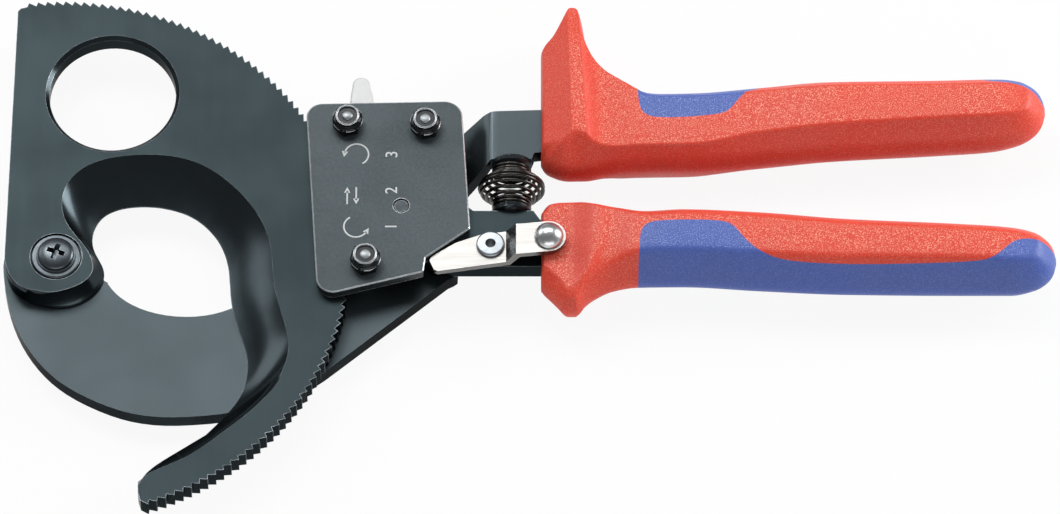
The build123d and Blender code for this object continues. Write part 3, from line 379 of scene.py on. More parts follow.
@dataclass(frozen=True)
class Finish:
    """One finish: what its material is made of, how it was worked, and the shade and highlights painted into
    its colour.

    Attributes:
        name: The material's name.
        colour: The base colour, linear.
        metallic: 1 for bare metal, 0 for plastic, between for blued or coated steel.
        roughness: The roughness of the flat faces.
        grain: How the surface was worked.
        grain_depth: The grain's height, in metres.
        grain_tone: How far the grain changes the roughness and tone, from 0 to 1.
        drift: How far the tone drifts over the surface, from 0 to 1.
        worn_and_highlit: The colour of rubbed and highlit edges, linear: partly rubbing, partly painted edge
            highlight.
        wear_and_highlight: How much the edges are rubbed and painted with highlights, from 0 to 1.
        wear_and_highlight_radius: How wide the rubbed and highlit edge is, in metres.
        lean_shade_and_highlight: The colour of faces that lean, or None for the same: painted shade where it
            is darker than the base colour, painted highlight where it is lighter.
        lean_roughness: The roughness of faces that lean, or None for the same.
        wall_shade_share: How much of the base colour the upright faces keep: painted shade on walls.
        grazing: How much of the reflection is left where light only grazes the surface.
        specular: The specular level.
        sparkle: The colour of the painted sparkle highlights on the skin, or None for none.
    """

    name: str
    colour: Colour
    metallic: float
    roughness: float
    grain: Grain
    grain_depth: float = 0.000004
    grain_tone: float = 0.25
    drift: float = 0.12
    worn_and_highlit: Colour = (0.45, 0.47, 0.48)
    wear_and_highlight: float = 0.5
    wear_and_highlight_radius: float = 0.00035
    lean_shade_and_highlight: Optional[Colour] = None
    lean_roughness: Optional[float] = None
    wall_shade_share: float = 1.0
    grazing: float = 1.0
    specular: float = 0.5
    sparkle: Optional[Colour] = None

    def make(self) -> bpy.types.Material:
        """Build the finish's material.

        Returns:
            The material, with every effect in its own nodes.
        """
        material = bpy.data.materials.new(self.name)
        wiring = cleared(material)
        shader = wiring.add(
            "ShaderNodeBsdfPrincipled", in_Metallic=self.metallic, in_Specular_IOR_Level=self.specular,
            in_Specular_Tint=(self.grazing, self.grazing, self.grazing, 1.0),
        )
        wiring.show("ShaderNodeOutputMaterial", shader.outputs[0])
        grain = wiring.add("ShaderNodeGroup", node_tree=GROUPS.grain, in_Stretch=STROKES[self.grain])
        drift = wiring.add("ShaderNodeGroup", node_tree=GROUPS.drift)
        wear_and_highlight = wiring.add(
            "ShaderNodeGroup", node_tree=GROUPS.wear_and_highlight, in_Radius=self.wear_and_highlight_radius, in_Amount=self.wear_and_highlight
        )
        slope = wiring.add("ShaderNodeGroup", node_tree=GROUPS.slope)
        leaning, upright = slope.outputs["Leaning"], slope.outputs["Upright"]
        values = grain.outputs["Value"], drift.outputs["Value"]
        unworn_unhighlit = self._colour(wiring, leaning, upright, *values)
        # The edges in the mask take the rubbed colour: partly rubbing, partly painted edge highlight.
        wiring.join(wiring.blend(wear_and_highlight.outputs["Mask"], unworn_unhighlit, self.worn_and_highlit), shader.inputs["Base Color"])
        wiring.join(self._roughness(wiring, leaning, *values), shader.inputs["Roughness"])
        bump = wiring.add("ShaderNodeBump", in_Strength=1.0, in_Distance=self.grain_depth)
        wiring.join(grain.outputs["Height"], bump.inputs["Height"])
        wiring.join(bump.outputs[0], shader.inputs["Normal"])
        return material

    def _colour(
        self, wiring: Wiring, leaning: Socket, upright: Socket, grain: Socket, drift: Socket
    ) -> Socket:
        """Wire the colour before the edge mask: painted shade and highlight by lean, painted shade on walls,
        then drift, grain and painted sparkle highlights.

        Args:
            wiring: The material's wiring.
            leaning: The mask of leaning faces.
            upright: The mask of walls.
            grain: The grain's value.
            drift: The drift's value.

        Returns:
            The colour's socket.
        """
        colour: object = self.colour
        # Leaning faces take their own colour: painted shade where it is darker, painted highlight where it is
        # lighter.
        if self.lean_roughness is not None:
            colour = wiring.blend(leaning, self.colour, self.lean_shade_and_highlight or self.colour)
        # Walls keep only a share of the colour: painted shade.
        if self.wall_shade_share < 1.0:
            colour = wiring.blend(upright, colour, self._scaled(self.wall_shade_share))
        tones = wiring.blend(drift, self._scaled(DARK_DRIFT), self._scaled(LIGHT_DRIFT))
        toned = wiring.blend(self.drift, colour, tones)
        shaded = wiring.blend(1.0, toned, GRAIN_SHADE, "MULTIPLY")
        grained = wiring.blend(wiring.maths("MULTIPLY", grain, self.grain_tone * 0.6), toned, shaded)
        if self.sparkle is None:
            return grained
        # Painted sparkle highlights: bright dots, fewer on leaning faces, which catch less light.
        sparkles = wiring.noise(in_Scale=SPARKLE_SCALE, in_Detail=1.0)
        dots = wiring.spread(sparkles.outputs["Fac"], 0.50, 0.68, 0.0, 0.85)
        lit = wiring.maths("SUBTRACT", 1.0, wiring.maths("MULTIPLY", leaning, 0.65))
        return wiring.blend(wiring.maths("MULTIPLY", dots, lit), grained, self.sparkle)

    def _roughness(self, wiring: Wiring, leaning: Socket, grain: Socket, drift: Socket) -> Socket:
        """Wire the roughness: by lean, then raised and lowered by the grain and the drift.

        Args:
            wiring: The material's wiring.
            leaning: The mask of leaning faces.
            grain: The grain's value.
            drift: The drift's value.

        Returns:
            The roughness's socket.
        """
        rough: object = self.roughness
        if self.lean_roughness is not None:
            rough = wiring.spread(leaning, 0.0, 1.0, self.roughness, self.lean_roughness)
        for value, share in ((grain, GRAIN_ROUGHNESS * self.grain_tone), (drift, DRIFT_ROUGHNESS)):
            change = wiring.maths("MULTIPLY", wiring.maths("SUBTRACT", value, 0.5), share)
            rough = wiring.maths("ADD", rough, change, clamp=True)
        return rough

    def _scaled(self, share: float) -> Colour:
        """Return the base colour times a share."""
        return tuple(min(1.0, value * share) for value in self.colour)


# Rubbed-edge colours also paint edge highlights, lean colours paint shade and highlight on leaning faces,
# wall shares paint shade on walls, and sparkle colours paint sparkle highlights.
FINISHES: dict[str, Finish] = {
    "blued_steel": Finish(
        "blued steel", (0.027, 0.038, 0.042), 0.88, 0.43, Grain.ALONG_Y,
        0.0000006, 0.05, 0.08, srgb(160, 168, 172), 0.85, 0.00036,
        lean_shade_and_highlight=(0.034, 0.044, 0.049), lean_roughness=0.24, wall_shade_share=0.50, grazing=0.42,
    ),
    "blued_plate": Finish(
        "blued plate", (0.066, 0.084, 0.092), 0.86, 0.46, Grain.BLASTED,
        0.0000012, 0.10, 0.16, srgb(140, 150, 154), 0.35, 0.00022,
        lean_shade_and_highlight=(0.050, 0.062, 0.068), lean_roughness=0.30, wall_shade_share=0.30, grazing=0.30,
    ),
    # The cover's light lean colour paints a highlight on its sloping rims.
    "cover_steel": Finish(
        "cover steel", (0.062, 0.078, 0.086), 0.60, 0.52, Grain.BLASTED,
        0.0000060, 0.45, 0.08, srgb(225, 230, 232), 1.0, 0.00040,
        lean_shade_and_highlight=(0.50, 0.53, 0.54), lean_roughness=0.30, wall_shade_share=0.45,
    ),
    "black_steel": Finish(
        "blackened steel", srgb(52, 58, 62), 0.75, 0.30, Grain.BLASTED,
        0.0000020, 0.25, 0.15, srgb(170, 174, 178), 0.45, 0.00020,
        wall_shade_share=0.45,
    ),
    "nut_steel": Finish(
        "black lock nuts", srgb(38, 42, 45), 0.70, 0.20, Grain.BLASTED,
        0.0000010, 0.15, 0.10, srgb(226, 230, 232), 1.0, 0.00032,
        wall_shade_share=0.60,
    ),
    "screw_steel": Finish(
        "oiled screw", srgb(86, 93, 98), 0.90, 0.36, Grain.TURNED,
        0.0000010, 0.20, 0.12, srgb(190, 196, 200), 0.6, 0.00025,
        wall_shade_share=0.45,
    ),
    "bearing_steel": Finish(
        "turned steel", srgb(150, 154, 158), 1.0, 0.30, Grain.TURNED,
        0.0000020, 0.30, 0.10, srgb(215, 218, 220), 0.5, 0.00020,
    ),
    "bolt_steel": Finish(
        "plated bolts", srgb(172, 177, 180), 1.0, 0.46, Grain.TURNED,
        0.0000020, 0.25, 0.12, srgb(180, 184, 188), 0.5, 0.00020,
    ),
    "insert_nylon": Finish(
        "nylon ring", srgb(34, 37, 40), 0.0, 0.45, Grain.MOULDED,
        0.0000020, 0.20, 0.15, srgb(60, 64, 68), 0.3, 0.00020,
    ),
    "spring_steel": Finish(
        "spring steel", srgb(66, 64, 62), 0.95, 0.22, Grain.BLASTED,
        0.0000010, 0.20, 0.20, srgb(190, 180, 168), 0.2, 0.00020,
    ),
    "tab_grey": Finish(
        "release tab grey", srgb(214, 214, 214), 0.10, 0.42, Grain.MOULDED,
        0.0000020, 0.15, 0.08, srgb(130, 134, 138), 0.7, 0.00040,
    ),
    "bright_plate": Finish(
        "bright plated steel", srgb(178, 176, 173), 1.0, 0.40, Grain.ALONG_X,
        0.0000010, 0.25, 0.10, srgb(250, 250, 250), 0.4, 0.00030,
        lean_shade_and_highlight=(0.22, 0.22, 0.22), lean_roughness=0.28, wall_shade_share=0.40,
    ),
    "rivet_plate": Finish(
        "satin plated rivet", srgb(166, 172, 176), 1.0, 0.38, Grain.TURNED,
        0.0000010, 0.20, 0.10, srgb(240, 242, 244), 0.4, 0.00020,
        wall_shade_share=0.50,
    ),
    "chrome": Finish(
        "polished chrome", srgb(206, 207, 208), 1.0, 0.30, Grain.TURNED,
        0.0000003, 0.10, 0.06, srgb(250, 250, 250), 0.3, 0.00020,
    ),
    "grip_red": Finish(
        "red grip", srgb(229, 66, 46), 0.0, 0.50, Grain.MOULDED,
        0.0000450, 0.30, 0.06, srgb(232, 110, 88), 0.10, 0.00060,
        specular=0.40, sparkle=srgb(250, 172, 144),
    ),
    "grip_blue": Finish(
        "blue grip zone", srgb(76, 98, 176), 0.0, 0.50, Grain.MOULDED,
        0.0000450, 0.30, 0.06, srgb(118, 138, 196), 0.10, 0.00040,
        specular=0.40, sparkle=srgb(136, 158, 216),
    ),
    "mark_white": Finish(
        "white marking paint", srgb(206, 210, 210), 0.0, 0.50, Grain.BLASTED,
        0.0000010, 0.20, 0.20, srgb(150, 156, 160), 0.3, 0.00010,
    ),
}

# The record's material slot of each node.
SLOTS: dict[str, str] = {part["node"]: part["material_slot"] for part in frame["record"]["subparts"]}

# The finish of a node where it isn't simply its slot's own.
OWN_FINISH: dict[str, str] = {
    "fixed_blade_frame": "blued_plate",
    "lock_nuts": "nut_steel",
    "pivot_screw": "screw_steel",
    "pivot_washer": "screw_steel",
    "handle_pivot_pin": "cover_steel",
}


class Paintbox:
    """The materials of all finishes, each made once."""

    def __init__(self) -> None:
        """Start with no material made."""
        self._made: dict[str, bpy.types.Material] = {}

    def take(self, finish: str) -> bpy.types.Material:
        """Return the material of one of the finishes."""
        if finish not in self._made:
            self._made[finish] = FINISHES[finish].make()
        return self._made[finish]

    def dress_nodes(self) -> None:
        """Give every CAD node its own finish's material, or its slot's."""
        for node, slot in SLOTS.items():
            materials = frame["nodes"][node].data.materials
            materials.clear()
            finish = OWN_FINISH.get(node, slot)
            materials.append(self.take(finish))
            LOG.info("dressed %s with %s", node, finish)


def body_of(node: str) -> str:
    """Return the CAD body that a node rides on."""
    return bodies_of(frame["nodes"][node])[0]


def blade_pivot() -> Array:
    """Return x and y of the blade's pivot, which the sizes are measured from."""
    low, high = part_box("pivot_bush")
    return np.array(((low.x + high.x) / 2, (low.y + high.y) / 2))


def mesh_of(name: str, points: Array, faces: Faces) -> bpy.types.Mesh:
    """Make a mesh of points, in metres, and of faces, as rows of point numbers."""
    mesh = bpy.data.meshes.new(name)
    mesh.from_pydata(points.tolist(), [], [tuple(face) for face in faces])
    return mesh


def place_piece(
    name: str, mesh: bpy.types.Mesh, body: str, slot: str, material: bpy.types.Material, *nodes: str
) -> bpy.types.Object:
    """Put a finished mesh into the scene as a piece of the object.

    Args:
        name: The piece's name.
        mesh: Its mesh, in its place.
        body: The CAD body it rides on.
        slot: The record's material slot that the piece stands in; not used.
        material: Its material.
        *nodes: The CAD nodes it stands for, if any.

    Returns:
        The new object.
    """
    mesh.name = name
    mesh.materials.clear()
    mesh.materials.append(material)
    mesh.update()
    piece = put_in(name, mesh)
    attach(piece, body)
    if nodes:
        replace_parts(piece, *nodes)
    LOG.info("built %s on %s for %s", name, body, ", ".join(nodes) or "no node")
    return piece


def ribbon(path: Array, width: float, low: float, high: float) -> Shape:
    """Carry a thin flat bar along a path in the plane.

    The two edges stand half the width to each side of the path, along the normal of its
    local direction, and the bar's two levels are low and high.

    Args:
        path: The centre line, rows of x and y, in metres.
        width: The bar's width, in metres.
        low: The height of its underside.
        high: The height of its upper face.

    Returns:
        The points and the faces of the closed bar.
    """
    along = np.gradient(path, axis=0)
    along /= np.linalg.norm(along, axis=1, keepdims=True)
    across = np.column_stack((-along[:, 1], along[:, 0])) * width / 2
    count = len(path)
    rings = [
        np.column_stack((path + way * across, np.full(count, level)))
        for way, level in ((1, high), (-1, high), (-1, low), (1, low))
    ]
    step = np.arange(count - 1)
    quads = []
    for side in range(4):
        here, there = side * count + step, (side + 1) % 4 * count + step
        quads += np.column_stack((here, there, there + 1, here + 1)).tolist()
    ends = [(0, 3 * count, 2 * count, count), (count - 1, 2 * count - 1, 3 * count - 1, 4 * count - 1)]
    return np.vstack(rings), [tuple(quad) for quad in quads] + ends


def arrow_head(tip: Array, direction: Array, length: float, low: float, high: float) -> Shape:
    """Build a flat arrow head: a triangle that narrows to its tip along a direction.

    Args:
        tip: The point of the arrow, x and y.
        direction: Where it points, as a vector of length 1.
        length: The head's length, in metres.
        low: The height of its underside.
        high: The height of its upper face.

    Returns:
        The points and the faces of the closed head.
    """
    side = np.array((-direction[1], direction[0])) * length * 0.5
    base = tip - direction * length
    flat = np.vstack((tip, base + side, base - side))
    points = np.vstack((np.column_stack((flat, np.full(3, high))), np.column_stack((flat, np.full(3, low)))))
    return points, [(0, 1, 2), (5, 4, 3), (0, 3, 4, 1), (1, 4, 5, 2), (2, 5, 3, 0)]


def joined(shapes: Sequence[Shape]) -> Shape:
    """Join several shapes into one list of points and one list of faces."""
    points, faces, start = [], [], 0
    for some_points, some_faces in shapes:
        points.append(some_points)
        faces += [tuple(start + number for number in face) for face in some_faces]
        start += len(some_points)
    return np.vstack(points), faces


def flowing(points: Sequence[tuple[float, float]], at: Array) -> Array:
    """Interpolate rows of place and value by a smooth curve that never overshoots them.

    Each span is a cubic whose grade at a row is the weighted harmonic mean of the slopes
    on its two sides, or level where they differ in sign.

    Args:
        points: Rows of place and value, in rising order of place.
        at: The places to work the curve out at.

    Returns:
        The values there; outside the rows the first or last value holds.
    """
    place, value = np.array(points, float).T
    step = np.diff(place)
    slope = np.diff(value) / step
    before, after = slope[:-1], slope[1:]
    same = before * after > 0
    first, second = 2 * step[1:] + step[:-1], step[1:] + 2 * step[:-1]
    mean = (first + second) / (first / np.where(same, before, 1.0) + second / np.where(same, after, 1.0))
    grade = np.concatenate((slope[:1], np.where(same, mean, 0.0), slope[-1:]))
    span = np.clip(np.searchsorted(place, at, side="right") - 1, 0, len(step) - 1)
    share = np.clip((at - place[span]) / step[span], 0.0, 1.0)
    rest = 1.0 - share
    return (
        value[span] * (1 + 2 * share) * rest**2
        + step[span] * grade[span] * share * rest**2
        + value[span + 1] * share**2 * (3 - 2 * share)
        - step[span] * grade[span + 1] * share**2 * rest
    )


def lower_of(first: Array, second: Array, rounding: float) -> Array:
    """Return the lower of two heights, with the crease between them rounded off."""
    return -rounding * np.logaddexp(-first / rounding, -second / rounding)


def away_from(points: Array, line: Array) -> Array:
    """Return each point's distance in the plane from a line of straight spans.

    The nearest point of a span is where the point falls on it, held between its ends.

    Args:
        points: Rows of x and y.
        line: The line's corners, rows of x and y.

    Returns:
        One distance for each point.
    """
    nearest = np.full(len(points), np.inf)
    for start, end in zip(line[:-1], line[1:]):
        span = end - start
        share = np.clip((points - start) @ span / max(float(span @ span), 1e-12), 0.0, 1.0)
        nearest = np.minimum(nearest, np.linalg.norm(points - start - share[:, None] * span, axis=1))
    return nearest


def grid_faces(rows: int, columns: int, first: int, flip: bool) -> Array:
    """Return the quads of a grid of points, numbered row by row from first."""
    corner = (np.arange(rows - 1)[:, None] * columns + np.arange(columns - 1)[None, :]).ravel() + first
    quads = np.column_stack((corner, corner + columns, corner + columns + 1, corner + 1))
    return quads[:, ::-1] if flip else quads


def settle(mesh: bpy.types.Mesh, crease: float = 32.0, flats: bool = False) -> None:
    """Weld a mesh's doubled points, point its faces outwards and shade it smooth up to a crease.

    Args:
        mesh: The mesh to change.
        crease: The angle past which an edge stays sharp, in degrees.
        flats: Whether the level faces keep a crisp outline wherever another face leaves them.
    """
    work = bmesh.new()
    work.from_mesh(mesh)
    bmesh.ops.remove_doubles(work, verts=work.verts, dist=WELD_GAP)
    bmesh.ops.dissolve_degenerate(work, edges=work.edges, dist=WELD_GAP / 4)
    bmesh.ops.recalc_face_normals(work, faces=work.faces)
    work.to_mesh(mesh)
    work.free()
    mesh.polygons.foreach_set("use_smooth", np.ones(len(mesh.polygons), bool))
    mesh.set_sharp_from_angle(angle=math.radians(crease))
    if flats:
        work = bmesh.new()
        work.from_mesh(mesh)
        for edge in work.edges:
            level = [abs(face.normal.z) > LEVEL for face in edge.link_faces]
            if any(level) and not all(level):
                edge.smooth = False
        work.to_mesh(mesh)
        work.free()
    mesh.update()


def prism(outline: Array, low: float, high: float, foot: Optional[Array] = None) -> bpy.types.Mesh:
    """Make a closed upright prism over an outline.

    Args:
        outline: Rows of x and y, in order round it.
        low: The height of its underside.
        high: The height of its upper face.
        foot: The underside's outline, or None for the same as above.

    Returns:
        The mesh.
    """
    count = len(outline)
    under = outline if foot is None else foot
    points = np.vstack([
        np.column_stack((flat, np.full(count, level))) for flat, level in ((under, low), (outline, high))
    ])
    here = np.arange(count)
    there = (here + 1) % count
    walls = np.column_stack((here, there, there + count, here + count)).tolist()
    mesh = mesh_of("prism", points, walls + [here[::-1].tolist(), (here + count).tolist()])
    settle(mesh)
    return mesh


def wedge(line: Array, level: float, reach: float, slope: float) -> bpy.types.Mesh:
    """Make the cutter for a sloping edge: a triangle carried along a line, falling to its left.

    Args:
        line: Rows of x and y where the slope begins.
        level: The height there.
        reach: How far the slope goes on to the left.
        slope: How much it falls over each step outwards.

    Returns:
        The closed mesh.
    """
    ahead = np.gradient(line, axis=0)
    left = np.column_stack((-ahead[:, 1], ahead[:, 0])) / np.linalg.norm(ahead, axis=1)[:, None]
    count = len(line)
    spare = -0.1 * reach
    rows = [
        np.column_stack((line + out * left, np.full(count, level - fall * slope)))
        for out, fall in ((spare, spare), (reach, reach), (reach, spare))
    ]
    corner = np.arange(count - 1)
    quads = [
        np.column_stack((here + corner, here + corner + 1, there + corner + 1, there + corner))
        for here, there in ((0, count), (count, 2 * count), (2 * count, 0))
    ]
    ends = [(0, count, 2 * count), (3 * count - 1, 2 * count - 1, count - 1)]
    mesh = mesh_of("wedge", np.vstack(rows), np.vstack(quads).tolist() + ends)
    settle(mesh)
    return mesh


def tube(path: Array, across: Array, along: Array, radius: float, sides: int) -> tuple[Array, Array]:
    """Carry a circle along a path and close both of its ends.

    Args:
        path: Rows of the circle's centre.
        across: The first direction of the circle's plane, one row for each centre.
        along: The second direction.
        radius: The circle's radius.
        sides: How many sides the circle has.

    Returns:
        The points and the faces.
    """
    turn = np.linspace(0.0, 2 * math.pi, sides + 1)
    middles = path[:, None, :]
    rings = middles + radius * (
        np.cos(turn)[None, :, None] * across[:, None, :] + np.sin(turn)[None, :, None] * along[:, None, :]
    )
    caps = np.repeat(middles[[0, -1]], sides + 1, axis=1)
    rings = np.concatenate((caps[:1], rings, caps[1:]))
    return rings.reshape(-1, 3), grid_faces(len(rings), sides + 1, 0, False)


def carved(mesh: bpy.types.Mesh, cutter: bpy.types.Mesh, operation: str) -> bpy.types.Mesh:
    """Return a mesh cut by another, or what both share.

    Args:
        mesh: The mesh to cut.
        cutter: The mesh that cuts it.
        operation: "DIFFERENCE" or "INTERSECT".

    Returns:
        The new mesh.
    """
    holders = [put_in("carving", some) for some in (mesh, cutter)]
    cut = holders[0].modifiers.new("cut", "BOOLEAN")
    cut.operation = operation
    cut.solver = "EXACT"
    cut.object = holders[1]
    bpy.context.view_layer.update()
    result = bpy.data.meshes.new_from_object(holders[0].evaluated_get(bpy.context.evaluated_depsgraph_get()))
    for holder in holders:
        bpy.data.objects.remove(holder)
    return result


@dataclass(frozen=True)
class GripShape:
    """The form of one grip, in millimetres from the blade's pivot.

    The sleeve is the same above and below its middle plane. Its height over a point of the
    plan is the lowest of a few heights: what the outline lets it rise to, what the lower
    side lets it rise to, and the crown with the guard's ridge.

    Attributes:
        name: The grip's name, which is also its CAD node's.
        body: The CAD body it rides on.
        upper_edge: Rows of place along the tool and the outline's upper edge there.
        lower_edge: The same for the lower edge.
        crown: Rows of place along the tool and half the handle's thickness.
        low_slope: Rows of place along the tool and how steeply the lower side rises.
        high_slope: Rows of place along the tool and how steeply the upper side rises.
        ridge_height: Rows of height across the tool and the ridge's half thickness.
        ridge_left: Rows of height across the tool and where the ridge begins along it.
        ridge_right: Rows of height across the tool and where the ridge ends along it.
        left_fall: How steeply the guard falls from its ridge to its front.
        right_drop: How far the guard drops behind its ridge.
        right_reach: How far behind its ridge most of that drop takes.
        under_latch: Whether the guard stays under the crown, clear of the latch.
        crease: The rounding of the crease along the handle.
        zones: The outlines of its soft zones.
    """

    name: str
    body: str
    upper_edge: Rows
    lower_edge: Rows
    crown: Rows
    low_slope: Rows
    high_slope: Rows
    ridge_height: Rows
    ridge_left: Rows
    ridge_right: Rows
    left_fall: float
    right_drop: float
    right_reach: float
    under_latch: bool
    crease: float
    zones: tuple[Rows, ...]


UPPER_SHAPE = GripShape(
    name="upper_grip",
    body="frame",
    upper_edge=(
        (129.0, 62.4), (129.6, 63.6), (131.6, 66.2), (133.3, 69.6), (135.1, 73.6), (135.8, 74.9),
        (136.9, 75.4), (138.6, 75.2), (139.6, 74.3), (140.1, 72.6), (140.9, 67.5), (142.6, 61.8),
        (144.7, 57.8), (148.1, 54.2), (154.9, 51.1), (161.0, 50.3), (170.0, 50.5), (187.9, 52.2),
        (206.0, 54.0), (235.0, 54.5), (252.0, 54.9), (257.6, 54.2), (261.4, 52.2), (263.6, 49.6),
        (264.4, 46.8),
    ),
    lower_edge=(
        (129.0, 29.4), (129.5, 28.2), (131.0, 26.9), (135.7, 25.1), (137.0, 25.0), (140.8, 25.1),
        (146.6, 26.4), (154.9, 27.5), (169.9, 27.6), (187.7, 29.2), (206.0, 31.2), (235.0, 33.0),
        (250.0, 34.2), (257.0, 36.0), (261.4, 38.6), (263.6, 41.6), (264.4, 44.6),
    ),
    crown=((129.0, 9.7), (167.0, 9.5), (187.0, 9.6), (235.0, 9.8), (250.0, 9.4), (258.0, 8.2), (264.4, 6.0)),
    low_slope=(
        (129.0, 1.7), (134.0, 1.15), (138.4, 0.88), (143.8, 1.25), (153.0, 2.2), (167.0, 2.1),
        (187.0, 1.35), (210.0, 1.25), (264.4, 1.2),
    ),
    high_slope=((129.0, 5.5), (146.0, 5.0), (158.0, 1.5), (264.4, 1.3)),
    ridge_height=(
        (25.0, 10.5), (48.0, 10.5), (54.2, 10.0), (58.8, 9.5), (62.4, 9.0), (67.4, 8.0), (73.6, 6.6),
        (75.5, 6.2),
    ),
    ridge_left=((25.0, 137.7), (75.5, 136.0)),
    ridge_right=((25.0, 141.9), (75.5, 138.9)),
    left_fall=0.50,
    right_drop=2.0,
    right_reach=2.2,
    under_latch=False,
    crease=0.18,
    zones=(
        (
            (154.9, 62.0), (154.9, 47.3), (155.4, 42.4), (156.4, 40.2), (158.9, 38.8), (167.1, 38.8),
            (176.7, 39.8), (179.4, 41.0), (181.5, 44.0), (184.3, 47.3), (187.7, 50.0), (190.0, 56.0),
            (190.0, 62.0),
        ),
        (
            (245.6, 62.0), (246.2, 54.6), (248.0, 52.4), (251.0, 50.6), (257.3, 49.6), (261.6, 48.6),
            (264.0, 46.6), (268.0, 44.0), (268.0, 62.0),
        ),
    ),
)
LOWER_SHAPE = GripShape(
    name="lower_grip",
    body="handle",
    upper_edge=(
        (129.0, 13.4), (129.6, 14.7), (131.2, 15.8), (134.0, 16.3), (139.4, 16.4), (143.8, 15.8),
        (149.3, 14.7), (156.0, 14.3), (167.0, 14.9), (187.0, 14.0), (210.0, 12.0), (240.0, 10.5),
        (254.0, 9.4), (260.6, 7.8), (264.2, 5.2), (265.8, 2.6), (266.19, 0.6),
    ),
    lower_edge=(
        (129.0, -8.6), (129.5, -9.4), (131.4, -11.4), (133.7, -14.0), (134.7, -15.2), (136.0, -15.8),
        (138.4, -15.8), (139.6, -15.0), (141.0, -13.0), (143.8, -10.6), (148.5, -8.3), (154.7, -7.2),
        (166.9, -7.1), (187.0, -8.3), (210.0, -9.4), (240.0, -9.7), (254.0, -9.7), (260.6, -8.2),
        (264.2, -5.8), (265.8, -3.0), (266.19, -1.0),
    ),
    crown=(
        (129.0, 6.1), (136.8, 6.5), (143.0, 8.4), (147.0, 9.0), (155.0, 9.4), (240.0, 9.6), (254.0, 9.0),
        (262.0, 7.6), (266.19, 6.0),
    ),
    low_slope=((129.0, 1.7), (140.0, 1.7), (150.0, 1.3), (167.0, 1.15), (266.19, 1.15)),
    high_slope=((129.0, 2.2), (147.0, 2.2), (158.0, 1.5), (266.19, 1.4)),
    ridge_height=(
        (-16.0, 4.8), (-12.2, 6.2), (-9.4, 7.2), (-6.4, 8.0), (-2.0, 8.8), (3.0, 9.3), (8.0, 9.4),
        (16.4, 9.2),
    ),
    ridge_left=((-16.0, 135.9), (-9.3, 135.5), (-6.2, 133.9), (-3.0, 131.6), (1.0, 130.9), (16.4, 131.4)),
    ridge_right=((-16.0, 138.8), (-9.3, 140.0), (-3.9, 142.0), (2.3, 143.1), (8.0, 143.4), (16.4, 142.4)),
    left_fall=0.75,
    right_drop=1.5,
    right_reach=3.0,
    under_latch=True,
    crease=0.5,
    zones=(
        (
            (154.5, -22.0), (154.7, -12.0), (155.2, 3.1), (156.3, 5.8), (158.7, 7.3), (166.9, 7.7),
            (177.4, 7.4), (180.4, 5.8), (183.1, 1.8), (187.1, -2.0), (193.3, -4.0), (206.9, -4.9),
            (221.0, -5.0), (245.0, -4.6), (249.5, -3.4), (252.4, -0.6), (254.8, 1.6), (258.6, 2.6),
            (262.8, 2.2), (268.0, 0.6), (268.0, -22.0),
        ),
    ),
)


